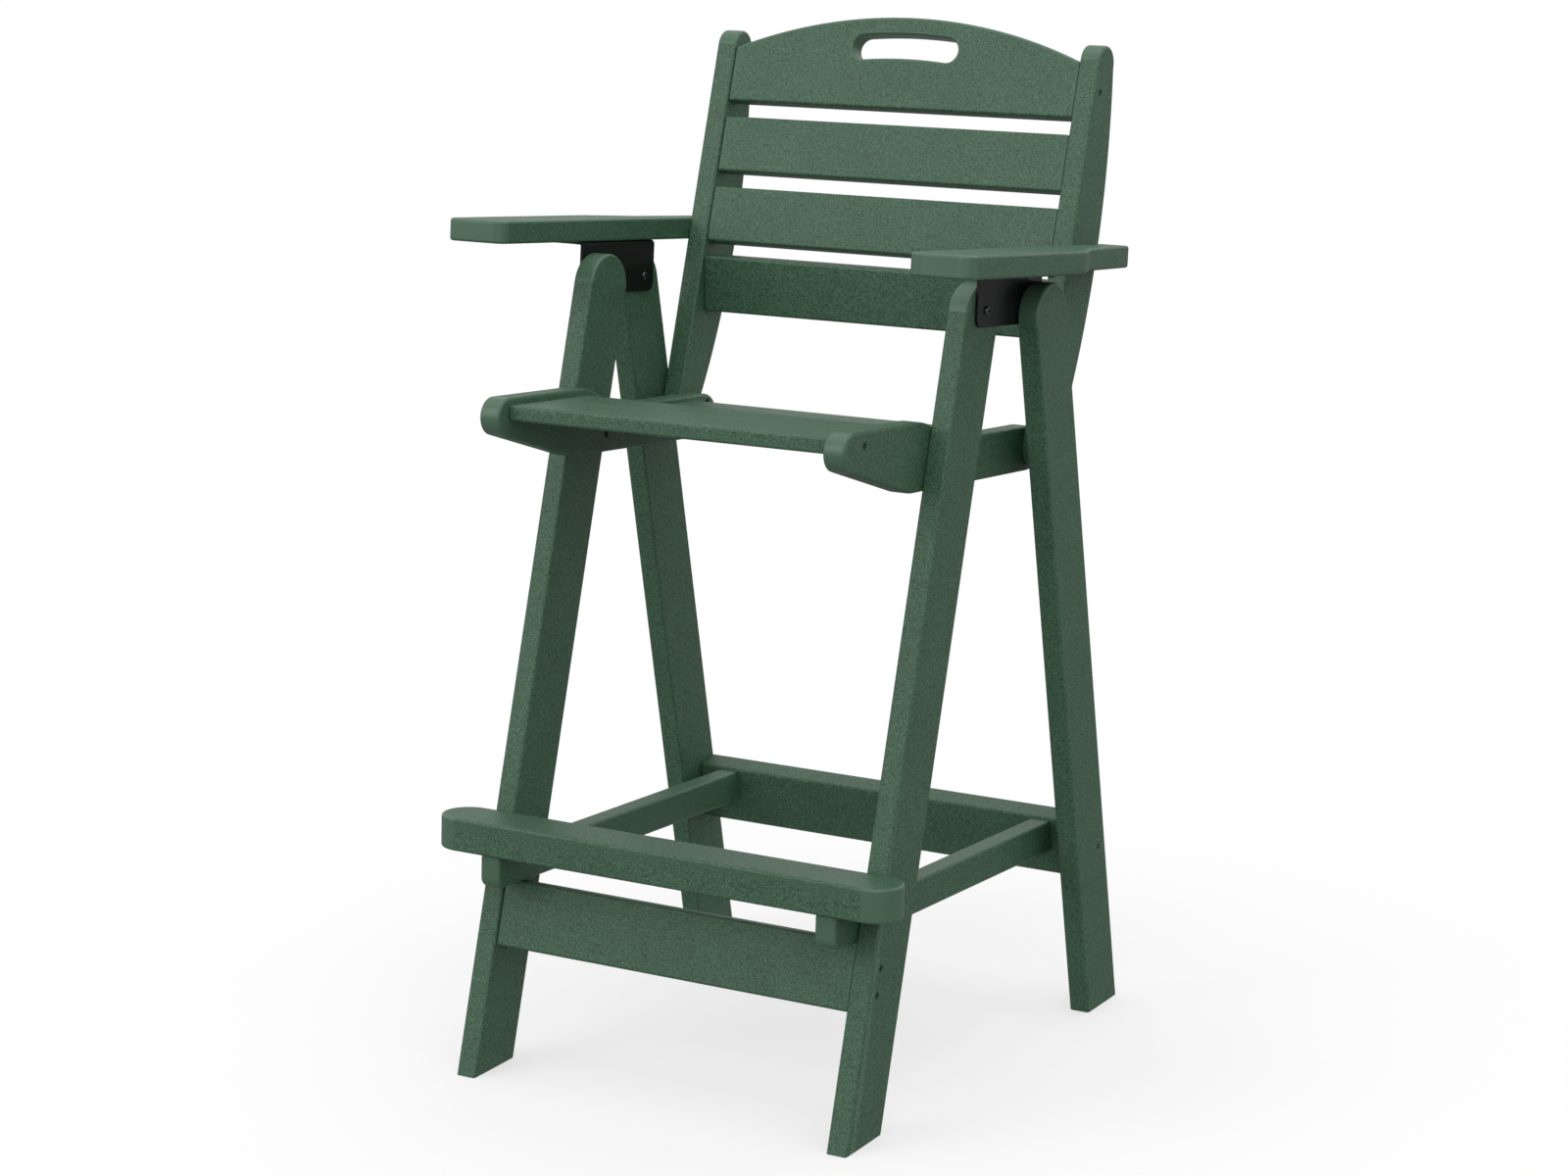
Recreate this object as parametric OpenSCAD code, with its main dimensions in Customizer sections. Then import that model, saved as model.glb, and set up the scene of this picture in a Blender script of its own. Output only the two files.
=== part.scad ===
// Tall patio chair of plastic lumber: two leaning leg pairs tied by brackets,
// side stretchers, an apron and a rear rail, with a dished slatted seat, a bowed
// four-slat back, paddle arms and a footrest with round ends.
// Left and right are as seen from in front of the chair, +Y is to the rear.
// Every size is in millimetres, and the chair stands on z = 0.

/* [Legs] */
// Clear width between the two front legs
inner_w = 457.2; // [420:0.1:500]
// Thickness of the legs, posts, side rails and stretchers
board_t = 25.4; // [22:0.1:30]
// Width of the four leg boards
leg_w = 76.2; // [70:0.1:84]
// Front edge of the front feet to rear edge of the rear feet
foot_spread = 626.8; // [600:0.1:650]
// Backward lean of the front legs, in degrees
front_lean = 16.8; // [15:0.1:18]
// Forward lean of the rear legs, in degrees
rear_lean = 11.3; // [10:0.1:12.5]
// Gap between the leg tops and the underside of the arms
leg_top_gap = 13; // [9:0.1:18]

/* [Lower frame] */
// Height of the top of a stretcher at its front end
stretcher_front_h = 260.8; // [235:0.1:290]
// Height of a stretcher board
stretcher_h = 38.1; // [34:0.1:42]
// Fall of the stretchers toward the rear, in degrees
stretcher_tilt = 3.1; // [2:0.1:4.5]
// How far a stretcher reaches ahead of its front leg
stretcher_reach = 58.2; // [50:0.1:70]
// Radius of a stretcher's lower front corner
stretcher_nose_r = 12; // [5:0.5:18]
// How far the footrest's round ends reach past the stretchers
footrest_past = 64.7; // [45:0.1:90]
// Depth of the footrest, front to rear
footrest_depth = 63.5; // [56:0.1:76]
// Thickness of the footrest
footrest_t = 38.1; // [25:0.1:45]
// Height of the apron under the stretchers' front ends
apron_h = 77; // [60:0.1:90]
// Thickness of the apron and of the rear rail
rail_t = 31.75; // [25.4:0.05:36]
// How far the apron and the rear rail lie inside the legs' edges
rail_inset = 3; // [1:0.1:6]
// Height of the rear rail
rear_rail_h = 73.2; // [60:0.1:85]
// Top of the rear rail, measured along the rear leg
rear_rail_top = 247; // [238:0.5:260]

/* [Seat] */
// Height of the side rails' noses, at their foremost point
seat_nose_h = 758.1; // [720:0.1:780]
// How far the noses reach ahead of the front legs
nose_reach = 194.8; // [170:0.1:210]
// Fall of the seat toward the rear, in degrees
seat_tilt = 4.4; // [2:0.1:6]
// Length of a side rail from its nose to the centre of its round rear end
side_rail_len = 441.6; // [430:0.1:455]
// Height of a side rail's straight rear part
side_rail_h = 51.2; // [46:0.1:58]
// Radius of a side rail's nose
nose_r = 21.5; // [18:0.1:24]
// Height of the front crest above the nose's foremost point
crest_h = 21.6; // [19:0.1:24]
// How far the rail's top falls from the crest to the rear part
dip_h = 25.5; // [18:0.1:29]
// Where the fall starts, behind the nose
dip_start = 165; // [150:0.5:175]
// Length over which the top falls
dip_len = 92; // [80:0.5:120]
// Underside of the nose, in degrees to the rail's length
nose_slope = 14; // [11:0.1:17]
// Thickness of the seat slats
seat_slat_t = 17.5; // [14:0.1:20]
// Depth of the two front seat slats below the side rails' crest
seat_slat_drop = 7.6; // [5:0.1:9]
// Depth of the two rear seat slats below the side rails' rear part
rear_slat_drop = 5.6; // [4:0.1:8]
// Width of the seat slats
seat_slat_w = 76.2; // [70:0.1:79]
// How far the front slat stands behind the rails' noses
front_slat_back = 19.9; // [16:0.1:24]
// Gap between two seat slats
seat_gap = 3; // [2:0.1:5]

/* [Back] */
// Recline of the back posts from upright, in degrees
back_tilt = 17.73; // [14:0.01:20]
// Length of a post between the centres of its round ends
post_len = 447; // [435:0.5:470]
// Width of a post at its round ends
post_end_w = 41.2; // [38:0.1:46]
// Width of a post at its middle
post_mid_w = 71.7; // [64:0.1:78]
// How far the post's lower end centre lies behind the side rail's end centre
post_back = 1.1; // [0:0.1:8]
// How far the post's lower end centre lies above the side rail's end centre
post_lift = 1.8; // [0:0.1:6]
// Thickness of the four back slats
back_slat_t = 25.4; // [20:0.1:28]
// Inset of the back slats behind the posts' front edges
back_slat_inset = 2; // [0:0.1:4]
// Height of the three plain back slats
back_slat_h = 66.8; // [60:0.1:70]
// Gap between two back slats
back_gap = 19.2; // [14:0.1:24]
// Underside of the top slat, above the centre of the posts' lower ends
top_slat_s = 378.5; // [370:0.5:385]
// Height of the top slat where it meets the posts
top_slat_end_h = 65.7; // [58:0.1:72]
// Rise of the top slat's arch over its ends
arch_rise = 43.8; // [36:0.1:50]
// Length of the hand slot
slot_len = 139; // [110:0.5:160]
// Height of the hand slot
slot_h = 28.8; // [24:0.1:32]
// Centre line of the hand slot below the arch
slot_drop = 34.85; // [30:0.05:40]

/* [Arms] */
// Height of the arms' top face at their rear ends
arm_rear_h = 916.6; // [900:0.1:930]
// Fall of the arms toward the rear, in degrees
arm_tilt = 5.47; // [4:0.01:7]
// Length of an arm
arm_len = 480; // [460:0.5:500]
// Thickness of an arm
arm_t = 25.4; // [20:0.1:30]
// Width of an arm's paddle
arm_w = 76.2; // [70:0.1:86]
// How far the tail ends behind the post
arm_tail_past = 5; // [0:0.1:10]
// Length of the tapering part and the tail, from the paddle to the end
arm_taper_len = 200; // [180:0.5:210]
// Length of the tail behind the taper
arm_tail_len = 131; // [110:0.5:140]
// Width of the tail where the taper ends
arm_tail_w = 49.5; // [45:0.1:55]
// Width of the tail at its end
arm_end_w = 37; // [32:0.1:42]
// Radius of the paddle's front corners
arm_corner_r = 14; // [8:0.5:20]
// Radius of the arm's bowed front edge
arm_bow_r = 300; // [270:1:900]

/* [Brackets] */
// Thickness of the bracket plates
bracket_t = 3.2; // [2:0.1:4]
// Height of a bracket's upright plate
bracket_h = 60.3; // [54:0.1:70]
// How far a bracket reaches past the leg centres at each end
bracket_margin = 21; // [15:0.5:24]
// Radius of a bracket's lower corners
bracket_r = 10; // [4:0.5:14]
// Width of the flange under the arm
flange_w = 50.8; // [40:0.1:60]
// Bracket screws below the underside of the arm
bracket_screw_drop = 42; // [38:0.5:46]

/* [Fasteners] */
// Diameter of a wood screw's shank
screw_d = 5; // [4:0.1:6]
// Length of a long wood screw under its head
long_screw_len = 55; // [48:0.5:62]
// Length of a short wood screw under its head
short_screw_len = 40; // [34:0.5:42]
// Diameter of a wood screw's head
screw_head_d = 7.6; // [7:0.1:9]
// Height of a wood screw's head
screw_head_h = 3.2; // [2.5:0.1:4]
// Depth of a wood screw's head seat below the board's face
screw_sink = 6; // [4.5:0.1:8]
// Diameter of a pan head
pan_head_d = 9.5; // [8.5:0.1:11]
// Height of a pan head
pan_head_h = 3; // [2:0.1:4]
// Length of a pan-head screw under its head
pan_screw_len = 22; // [16:0.5:24]
// Length of a post bolt under its head
post_bolt_len = 68; // [58:0.5:70]
// Diameter of a post bolt
post_bolt_d = 6; // [5:0.1:7]
// Diameter of a post bolt's head
post_bolt_head_d = 9.6; // [8.5:0.1:11]
// Diameter of the spacer washers on the post bolts
washer_d = 18; // [14:0.5:22]
// Diameter of the slat dowels
dowel_d = 8; // [6:0.1:9]
// Length of the slat dowels
dowel_len = 36; // [30:0.5:40]
// Clearance of a shank, a head or a dowel in its hole, on the radius
hole_play = 0.1; // [0.05:0.01:0.25]
// Clearance between boards that stand close without touching
board_play = 0.3; // [0.1:0.05:0.6]

/* [Hidden] */

GREEN = "#4f8a62";
BLACK = "#222426";
STEEL = "#8d9296";

// Segments of a full circle
ROUND = 96;
// Steps of an arc that rounds a corner
ARC_STEPS = 8;
// Steps along the fall of a side rail's top, and round its ends
DIP_STEPS = 24;
// How far a cut runs past the face that it opens
PAST = 1;

// Planes of the side boards, outward from the middle of the chair
x_leg = inner_w / 2;
x_rail = x_leg - board_t;
x_plate = x_leg + board_t;
x_rear = x_plate + bracket_t;
x_outer = x_rear + board_t;

half_leg = leg_w / 2;

// Distance of a point from a leg's outer edge, square to the leg, where base is
// the foot's edge and way is 1 for a leg that leans back, -1 for one that leans forward
function from_leg_edge(point, base, way, lean) =
  way * (point[0] - base) * cos(lean) - point[1] * sin(lean);

// Front end of a stretcher's top edge
stretcher_y = tan(front_lean) * stretcher_front_h - stretcher_reach;
// Point of a stretcher, from its front end and its top edge
function stretcher_point(along, up) = [
  stretcher_y + along * cos(stretcher_tilt) + up * sin(stretcher_tilt),
  stretcher_front_h - along * sin(stretcher_tilt) + up * cos(stretcher_tilt)
];
// Where the front leg's face crosses the stretcher's top edge
footrest_rear = stretcher_reach * cos(front_lean) / cos(front_lean - stretcher_tilt) - board_play;
footrest_front = footrest_rear - footrest_depth;
footrest_len = inner_w + 2 * footrest_past;
// Where the leg's centre line crosses the stretcher's middle
stretcher_leg_at =
  (half_leg - from_leg_edge(stretcher_point(0, -stretcher_h / 2), 0, 1, front_lean))
  / cos(front_lean - stretcher_tilt);
// Distance between the two screws that join a stretcher and a leg, or a stretcher and the footrest
pair_gap = 28;

// Front face of the rear rail, from the rear legs' rear edges
rear_rail_face = rail_inset + rail_t;
// Length of a stretcher's line at a given height up to the rear rail
function stretcher_run(up) =
  (from_leg_edge(stretcher_point(0, up), foot_spread, -1, rear_lean) - rear_rail_face)
  / cos(stretcher_tilt + rear_lean);

// Top of the apron along the front leg, just under the stretchers
stretcher_low = stretcher_point(0, -stretcher_h);
apron_top =
  (stretcher_low[1] + tan(stretcher_tilt) * stretcher_low[0] - board_play
    + rail_inset * (sin(front_lean) - tan(stretcher_tilt) * cos(front_lean)))
  / (cos(front_lean) + tan(stretcher_tilt) * sin(front_lean));
// Apron screws below the apron's top
apron_screw_drops = [25.7, 55.4];
rail_mid = rail_inset + rail_t / 2;

// Origin of the seat, at the noses' foremost point
seat_y = tan(front_lean) * seat_nose_h - nose_reach;
// Side view point of a place given along and square to the side rails
function seat_point(along, up) = [
  seat_y + along * cos(seat_tilt) + up * sin(seat_tilt),
  seat_nose_h - along * sin(seat_tilt) + up * cos(seat_tilt)
];
rear_top = crest_h - dip_h;
rail_low = rear_top - side_rail_h;
rail_end_r = side_rail_h / 2;
// Radius of the two arcs of the rail's falling top
dip_r = (pow(dip_len / 2, 2) + pow(dip_h / 2, 2)) / dip_h;
// Height of a side rail's top edge behind the nose
function rail_top(along) =
  along < dip_start ? crest_h :
  along < dip_start + dip_len / 2
    ? crest_h - dip_r + sqrt(dip_r * dip_r - pow(along - dip_start, 2)) :
  along < dip_start + dip_len
    ? rear_top + dip_r - sqrt(dip_r * dip_r - pow(dip_start + dip_len - along, 2)) :
  rear_top;
nose_mid = crest_h - nose_r;
// Where the nose's sloping underside leaves the nose and where it meets the rail's underside
nose_foot = [nose_r - nose_r * sin(nose_slope), nose_mid - nose_r * cos(nose_slope)];
knee_at = nose_foot[0] + (nose_foot[1] - rail_low) / tan(nose_slope);
// Radius that eases the knee under a side rail
knee_r = 60;

// Seat slats: start and end of each top face, along and square to the side rails
front_slat_top = crest_h - seat_slat_drop;
rear_slat_top = rear_top - rear_slat_drop;
slat_2_at = front_slat_back + seat_slat_w + seat_gap;
// Extra gap ahead of the falling slat, and how much flatter than the fall it lies, in degrees
bend_gap = 4;
slat_3_lift = 1;
slat_3_at = slat_2_at + seat_slat_w + seat_gap + bend_gap;
slat_3_start = rail_top(slat_3_at) - seat_slat_drop;
// Falling slat between the front pair and the rear pair
slat_3_tilt = asin((slat_3_start - rear_slat_top) / seat_slat_w) - slat_3_lift;
slat_4_at = slat_3_at + seat_slat_w * cos(slat_3_tilt) + seat_gap;
slat_5_at = slat_4_at + seat_slat_w + seat_gap;
SEAT_SLATS = [
  [front_slat_back, front_slat_top, 0],
  [slat_2_at, front_slat_top, 0],
  [slat_3_at, slat_3_start, slat_3_tilt],
  [slat_4_at, rear_slat_top, 0],
  [slat_5_at, rear_slat_top, 0]
];
half_slat = seat_slat_t / 2;
// Screw from a side rail into the front slat, behind the slat's front edge
front_screw_back = 27;

// Centres of the side rail's round end and of the post's lower end
rail_end = seat_point(side_rail_len, rear_top - rail_end_r);
post_low = [rail_end[0] + post_back, rail_end[1] + post_lift];
// Origin of the post, on its front edge abreast of its lower end's centre
half_end = post_end_w / 2;
post_y = post_low[0] - half_end * cos(back_tilt);
post_z = post_low[1] + half_end * sin(back_tilt);
// Side view point of a place behind the post's front edge and up along it
function post_point(back, up) = [
  post_y + back * cos(back_tilt) + up * sin(back_tilt),
  post_z - back * sin(back_tilt) + up * cos(back_tilt)
];
bow_h = post_mid_w - post_end_w;
post_bow_r = (pow(post_len / 2, 2) + bow_h * bow_h) / (2 * bow_h);

// Undersides of the plain slats that follow the posts, top one first
upper_slat_s = top_slat_s - back_gap - back_slat_h;
middle_slat_s = upper_slat_s - back_gap - back_slat_h;
lower_slat_s = middle_slat_s - back_gap;
back_mid = back_slat_inset + back_slat_t / 2;
arch_r = (x_leg * x_leg + arch_rise * arch_rise) / (2 * arch_rise);
arch_mid = top_slat_s + top_slat_end_h + arch_rise - arch_r;
slot_r = arch_r - slot_drop;
half_slot = slot_h / 2;
slot_turn = asin((slot_len / 2 - half_slot) / slot_r);

// Rear end of an arm's underside
arm_low = arm_rear_h - arm_t * cos(arm_tilt);
arm_mid_h = arm_rear_h - arm_t / 2;
arm_y = post_y + (arm_mid_h - post_z) * tan(back_tilt) + post_mid_w / cos(back_tilt) + arm_tail_past;
// Length of a leg to the centre of its round top, which stays under the arm
function leg_len(base, way, lean) =
  (arm_low + tan(arm_tilt) * (arm_y - base) - half_leg - leg_top_gap
    + half_leg * (sin(lean) - way * tan(arm_tilt) * cos(lean)))
  / (cos(lean) + way * tan(arm_tilt) * sin(lean));
front_len = leg_len(0, 1, front_lean);
rear_len = leg_len(foot_spread, -1, rear_lean);
// Centres of the round leg tops in the side view
front_top = [
  half_leg * cos(front_lean) + front_len * sin(front_lean),
  front_len * cos(front_lean) - half_leg * sin(front_lean)
];
rear_top_at = [
  foot_spread - half_leg * cos(rear_lean) - rear_len * sin(rear_lean),
  rear_len * cos(rear_lean) - half_leg * sin(rear_lean)
];
// Place of a side view point along the arm, from its rear end
function along_arm(point) =
  (point[0] - arm_y) * cos(arm_tilt) - (point[1] - arm_low) * sin(arm_tilt);
front_top_a = along_arm(front_top);
rear_top_a = along_arm(rear_top_at);
bracket_mid = (front_top_a + rear_top_a) / 2;
// Arm screws through the flange, from the bracket's middle and from the plate
arm_screw_gap = 57.2;
arm_screw_out = 38;
// Radii of the tail's outer corner and of the bends at both ends of the taper
tail_corner_r = 3;
taper_ease_r = 45;
// Screws from the post into the arm, from the arm's rear end
arm_post_at = [-42, -18];
// Screw that joins the side rail and the post above their bolt
rail_post_up = 14;

// Rail screws into the front leg, above the rail's underside
rail_screw_ups = [20.8, 36];
// Place along the front leg's centre line at a given height of the side rail
function leg_at_rail(up) =
  (up + seat_y * sin(seat_tilt) + seat_nose_h * cos(seat_tilt) + half_leg * sin(front_lean - seat_tilt))
  / cos(front_lean - seat_tilt);

// The chair's middle: front feet to the rear feet or the back's upper rear edge
arch_rear = post_point(back_slat_inset + back_slat_t, top_slat_s + top_slat_end_h + arch_rise)[0];
origin_y = -max(foot_spread, arch_rear) / 2;

// How much wider than its head a sunk fastener's recess is
head_room = 0.6;
// Fasteners: shank diameter, length under the head, head diameter, head height, sink
LONG = [screw_d, long_screw_len, screw_head_d, screw_head_h, screw_sink];
SHORT = [screw_d, short_screw_len, screw_head_d, screw_head_h, screw_sink];
PAN = [screw_d, pan_screw_len, pan_head_d, pan_head_h, 0];
BOLT = [post_bolt_d, post_bolt_len, post_bolt_head_d, screw_head_h, screw_sink];

// Points that round the corner b of the path a, b, c with radius r
function corner(a, b, c, r) =
  r <= 0 ? [b] :
  let (
    u = (a - b) / norm(a - b),
    v = (c - b) / norm(c - b),
    half = acos(u * v) / 2,
    mid = b + (u + v) / norm(u + v) * r / sin(half),
    from = b + u * r / tan(half) - mid,
    turn = from[1] * u[0] - from[0] * u[1] > 0 ? 1 : -1,
    sweep = 180 - 2 * half
  )
  [for (i = [0:ARC_STEPS])
    let (t = turn * sweep * i / ARC_STEPS)
    mid + [from[0] * cos(t) - from[1] * sin(t), from[0] * sin(t) + from[1] * cos(t)]];

// Points of an arc round the centre c, from one angle to another
function arc(c, r, from, to) =
  [for (i = [0:DIP_STEPS])
    let (t = from + (to - from) * i / DIP_STEPS)
    c + r * [cos(t), sin(t)]];

// Outline through the points p, each corner rounded with its radius in r
function rounded(p, r) =
  let (n = len(p))
  [for (i = [0:n - 1]) each corner(p[(i + n - 1) % n], p[i], p[(i + 1) % n], r[i])];

// Turns the side view (x to the rear, y up, z to the right) into the chair's axes
module side_view() {
  translate([0, origin_y, 0])
    rotate([90, 0, 90])
      children();
}

// Right side of the chair, or its mirror image for the left side
module on_side(side) {
  if (side < 0)
    mirror([1, 0, 0]) children();
  else
    children();
}

// Front leg: x square to it from its front edge, y along it from the floor
module front_leg_frame() {
  rotate([0, 0, -front_lean]) children();
}

// Rear leg: x square to it from its rear edge, y along it from the floor
module rear_leg_frame() {
  translate([foot_spread, 0, 0])
    mirror([1, 0, 0])
      rotate([0, 0, -rear_lean])
        children();
}

// Stretcher: x along its top from the front end, y square to it
module stretcher_frame() {
  translate([stretcher_y, stretcher_front_h, 0])
    rotate([0, 0, -stretcher_tilt])
      children();
}

// Seat: x along the side rail from its nose, y square to it
module seat_frame() {
  translate([seat_y, seat_nose_h, 0])
    rotate([0, 0, -seat_tilt])
      children();
}

// Back: x to the rear from the post's front edge, y up along it
module post_frame() {
  translate([post_y, post_z, 0])
    rotate([0, 0, -back_tilt])
      children();
}

// Arm: x along its underside from the rear end, y square to it
module arm_frame() {
  translate([arm_y, arm_low, 0])
    rotate([0, 0, -arm_tilt])
      children();
}

// Board that lies across the chair, its section drawn in the side view
module across(half) {
  translate([0, 0, -half])
    linear_extrude(2 * half)
      children();
}

// Lays an outline drawn as (along, out to the right) flat, t thick and resting on y = 0
module laid(t) {
  translate([0, t, 0])
    rotate([90, 0, 0])
      linear_extrude(t)
        children();
}

// Fastener: its shank runs down -z from a head seat that is sunk below z = 0, and a
// six-sided recess half as wide as the head opens its top
module fastener(f) {
  translate([0, 0, -f[4]])
    difference() {
      union() {
        translate([0, 0, -f[1]]) cylinder(d = f[0], h = f[1], $fn = ROUND);
        cylinder(d = f[2], h = f[3], $fn = ROUND);
      }
      translate([0, 0, f[3] / 2]) cylinder(d = f[2] / 2, h = f[3], $fn = 6);
    }
}

// Hole for a fastener, with room round it and under its tip
module fastener_hole(f) {
  translate([0, 0, -f[4] - f[1] - PAST])
    cylinder(d = f[0] + 2 * hole_play, h = f[1] + 2 * PAST, $fn = ROUND);
  if (f[4] > 0)
    translate([0, 0, -f[4]])
      cylinder(d = f[2] + 2 * hole_play + head_room, h = f[4] + PAST, $fn = ROUND);
}

// Places on the right side where each kind of fastener goes in, +z toward its head
module apron_screws_at() {
  front_leg_frame()
    for (drop = apron_screw_drops)
      translate([rail_mid, apron_top - drop, x_plate]) children();
}

module rear_rail_screws_at() {
  rear_leg_frame()
    translate([rail_mid, rear_rail_top - rear_rail_h / 2, x_outer]) children();
}

module top_slat_screws_at() {
  post_frame()
    translate([back_mid, top_slat_s + top_slat_end_h / 2, x_plate]) children();
}

module seat_screws_at() {
  seat_frame()
    translate([front_slat_back + front_screw_back, front_slat_top - half_slat, x_leg]) children();
}

module footrest_screws_at() {
  stretcher_frame()
    for (way = [-1, 1])
      translate([
        (footrest_front + footrest_rear + way * pair_gap) / 2, -stretcher_h, x_rail + board_t / 2
      ])
        rotate([90, 0, 0]) children();
}

module stretcher_end_screws_at() {
  end_mid = stretcher_point(stretcher_run(-stretcher_h / 2), -stretcher_h / 2);
  along = (foot_spread - end_mid[0]) * sin(rear_lean) + end_mid[1] * cos(rear_lean);
  rear_leg_frame()
    translate([rail_inset, along, x_rail + board_t / 2])
      rotate([0, -90, 0]) children();
}

module stretcher_leg_screws_at() {
  stretcher_frame()
    for (way = [-1, 1])
      translate([stretcher_leg_at + way * pair_gap / 2, -stretcher_h / 2, x_rail])
        rotate([180, 0, 0]) children();
}

module rail_leg_screws_at() {
  front_leg_frame()
    for (up = rail_screw_ups)
      translate([half_leg, leg_at_rail(rail_low + up), x_rail])
        rotate([180, 0, 0]) children();
}

module rail_post_screws_at() {
  post_frame()
    translate([half_end, rail_post_up, x_rail])
      rotate([180, 0, 0]) children();
}

module arm_post_screws_at() {
  arm_frame()
    for (at = arm_post_at)
      translate([at, arm_t / 2, x_leg])
        rotate([180, 0, 0]) children();
}

module post_bolts_at() {
  translate([(rail_end[0] + post_low[0]) / 2, (rail_end[1] + post_low[1]) / 2, x_rail])
    rotate([180, 0, 0]) children();
}

module front_bracket_screws_at() {
  arm_frame()
    translate([front_top_a, -bracket_screw_drop, x_rear]) children();
}

module rear_bracket_screws_at() {
  arm_frame()
    translate([rear_top_a, -bracket_screw_drop, x_plate])
      rotate([180, 0, 0]) children();
}

module arm_screws_at() {
  arm_frame()
    for (way = [-1, 1])
      translate([bracket_mid + way * arm_screw_gap / 2, -bracket_t, x_plate + arm_screw_out])
        rotate([90, 0, 0]) children();
}

// Dowels between the posts and the plain back slats
module back_dowels_at() {
  post_frame()
    for (s = [upper_slat_s, middle_slat_s], way = [-1, 1])
      translate([back_mid, s + back_slat_h / 2 + way * back_slat_h / 4, x_leg]) children();
  lower_slat_frame()
    for (way = [-1, 1])
      translate([back_slat_t / 2, -back_slat_h / 2 + way * back_slat_h / 4, x_leg]) children();
}

// Dowels between the side rails and every seat slat but the front one
module seat_dowels_at() {
  for (i = [1:len(SEAT_SLATS) - 1])
    seat_slat_frame(SEAT_SLATS[i])
      for (way = [-1, 1])
        translate([seat_slat_w / 2 + way * seat_slat_w / 4, -half_slat, x_rail]) children();
}

module dowel() {
  translate([0, 0, -dowel_len / 2]) cylinder(d = dowel_d, h = dowel_len, $fn = ROUND);
}

module dowel_hole() {
  translate([0, 0, -dowel_len / 2 - hole_play])
    cylinder(d = dowel_d + 2 * hole_play, h = dowel_len + 2 * hole_play, $fn = ROUND);
}

// Leg board with a flat foot on the floor and a round top
module leg_board(length, lean, x_in) {
  translate([0, 0, x_in])
    linear_extrude(board_t) {
      polygon([[0, 0], [leg_w, leg_w * tan(lean)], [leg_w, length], [0, length]]);
      translate([half_leg, length]) circle(half_leg, $fn = ROUND);
    }
}

module front_leg(side) {
  color(GREEN)
    on_side(side)
      side_view()
        difference() {
          front_leg_frame() leg_board(front_len, front_lean, x_leg);
          apron_screws_at() fastener_hole(LONG);
          stretcher_leg_screws_at() fastener_hole(SHORT);
          rail_leg_screws_at() fastener_hole(SHORT);
          front_bracket_screws_at() fastener_hole(PAN);
        }
}

module rear_leg(side) {
  color(GREEN)
    on_side(side)
      side_view()
        difference() {
          rear_leg_frame() leg_board(rear_len, rear_lean, x_rear);
          rear_rail_screws_at() fastener_hole(LONG);
          post_bolts_at() fastener_hole(BOLT);
          rear_bracket_screws_at() fastener_hole(PAN);
        }
}

// Post with a straight front edge, a bowed rear edge and round ends
module back_post(side) {
  color(GREEN)
    on_side(side)
      side_view()
        difference() {
          post_frame()
            translate([0, 0, x_leg])
              linear_extrude(board_t) {
                intersection() {
                  square([post_mid_w, post_len]);
                  translate([post_mid_w - post_bow_r, post_len / 2]) circle(post_bow_r, $fn = 360);
                }
                translate([half_end, 0]) circle(half_end, $fn = ROUND);
                translate([half_end, post_len]) circle(half_end, $fn = ROUND);
              }
          top_slat_screws_at() fastener_hole(LONG);
          arm_post_screws_at() fastener_hole(SHORT);
          rail_post_screws_at() fastener_hole(SHORT);
          post_bolts_at() fastener_hole(BOLT);
          back_dowels_at() dowel_hole();
        }
}

// Side rail with a round nose, a crest that falls to the rear part, and a round end
module side_rail(side) {
  dip = [for (i = [DIP_STEPS:-1:0]) let (at = dip_start + dip_len * i / DIP_STEPS) [at, rail_top(at)]];
  knee = corner(nose_foot, [knee_at, rail_low], [side_rail_len, rail_low], knee_r);
  color(GREEN)
    on_side(side)
      side_view()
        difference() {
          seat_frame()
            translate([0, 0, x_rail])
              linear_extrude(board_t)
                polygon(concat(
                  arc([nose_r, nose_mid], nose_r, 90, 270 - nose_slope),
                  knee,
                  arc([side_rail_len, rear_top - rail_end_r], rail_end_r, -90, 90),
                  dip
                ));
          seat_screws_at() fastener_hole(LONG);
          rail_leg_screws_at() fastener_hole(SHORT);
          rail_post_screws_at() fastener_hole(SHORT);
          post_bolts_at() fastener_hole(BOLT);
          seat_dowels_at() dowel_hole();
        }
}

// Stretcher from ahead of the front leg to the rear rail, its rear end cut to fit the rail
module stretcher(side) {
  color(GREEN)
    on_side(side)
      side_view()
        difference() {
          stretcher_frame()
            translate([0, 0, x_rail])
              linear_extrude(board_t)
                polygon(rounded(
                  [[0, 0], [stretcher_run(0), 0], [stretcher_run(-stretcher_h), -stretcher_h],
                   [0, -stretcher_h]],
                  [0, 0, 0, stretcher_nose_r]
                ));
          stretcher_leg_screws_at() fastener_hole(SHORT);
          stretcher_end_screws_at() fastener_hole(LONG);
          footrest_screws_at() fastener_hole(LONG);
        }
}

// Paddle arm with a bowed front, a taper on its outer edge and a narrow tail
module arm(side) {
  x_paddle = x_plate + arm_w;
  color(GREEN)
    on_side(side)
      side_view()
        difference() {
          arm_frame()
            laid(arm_t)
              intersection() {
                polygon(rounded(
                  [[-arm_len, x_plate], [0, x_plate], [0, x_plate + arm_end_w],
                   [-arm_tail_len, x_plate + arm_tail_w], [-arm_taper_len, x_paddle],
                   [-arm_len, x_paddle]],
                  [arm_corner_r, 0, tail_corner_r, taper_ease_r, taper_ease_r, arm_corner_r]
                ));
                translate([arm_bow_r - arm_len, x_plate + arm_w / 2]) circle(arm_bow_r, $fn = 360);
              }
          arm_screws_at() fastener_hole(PAN);
          arm_post_screws_at() fastener_hole(SHORT);
        }
}

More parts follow.
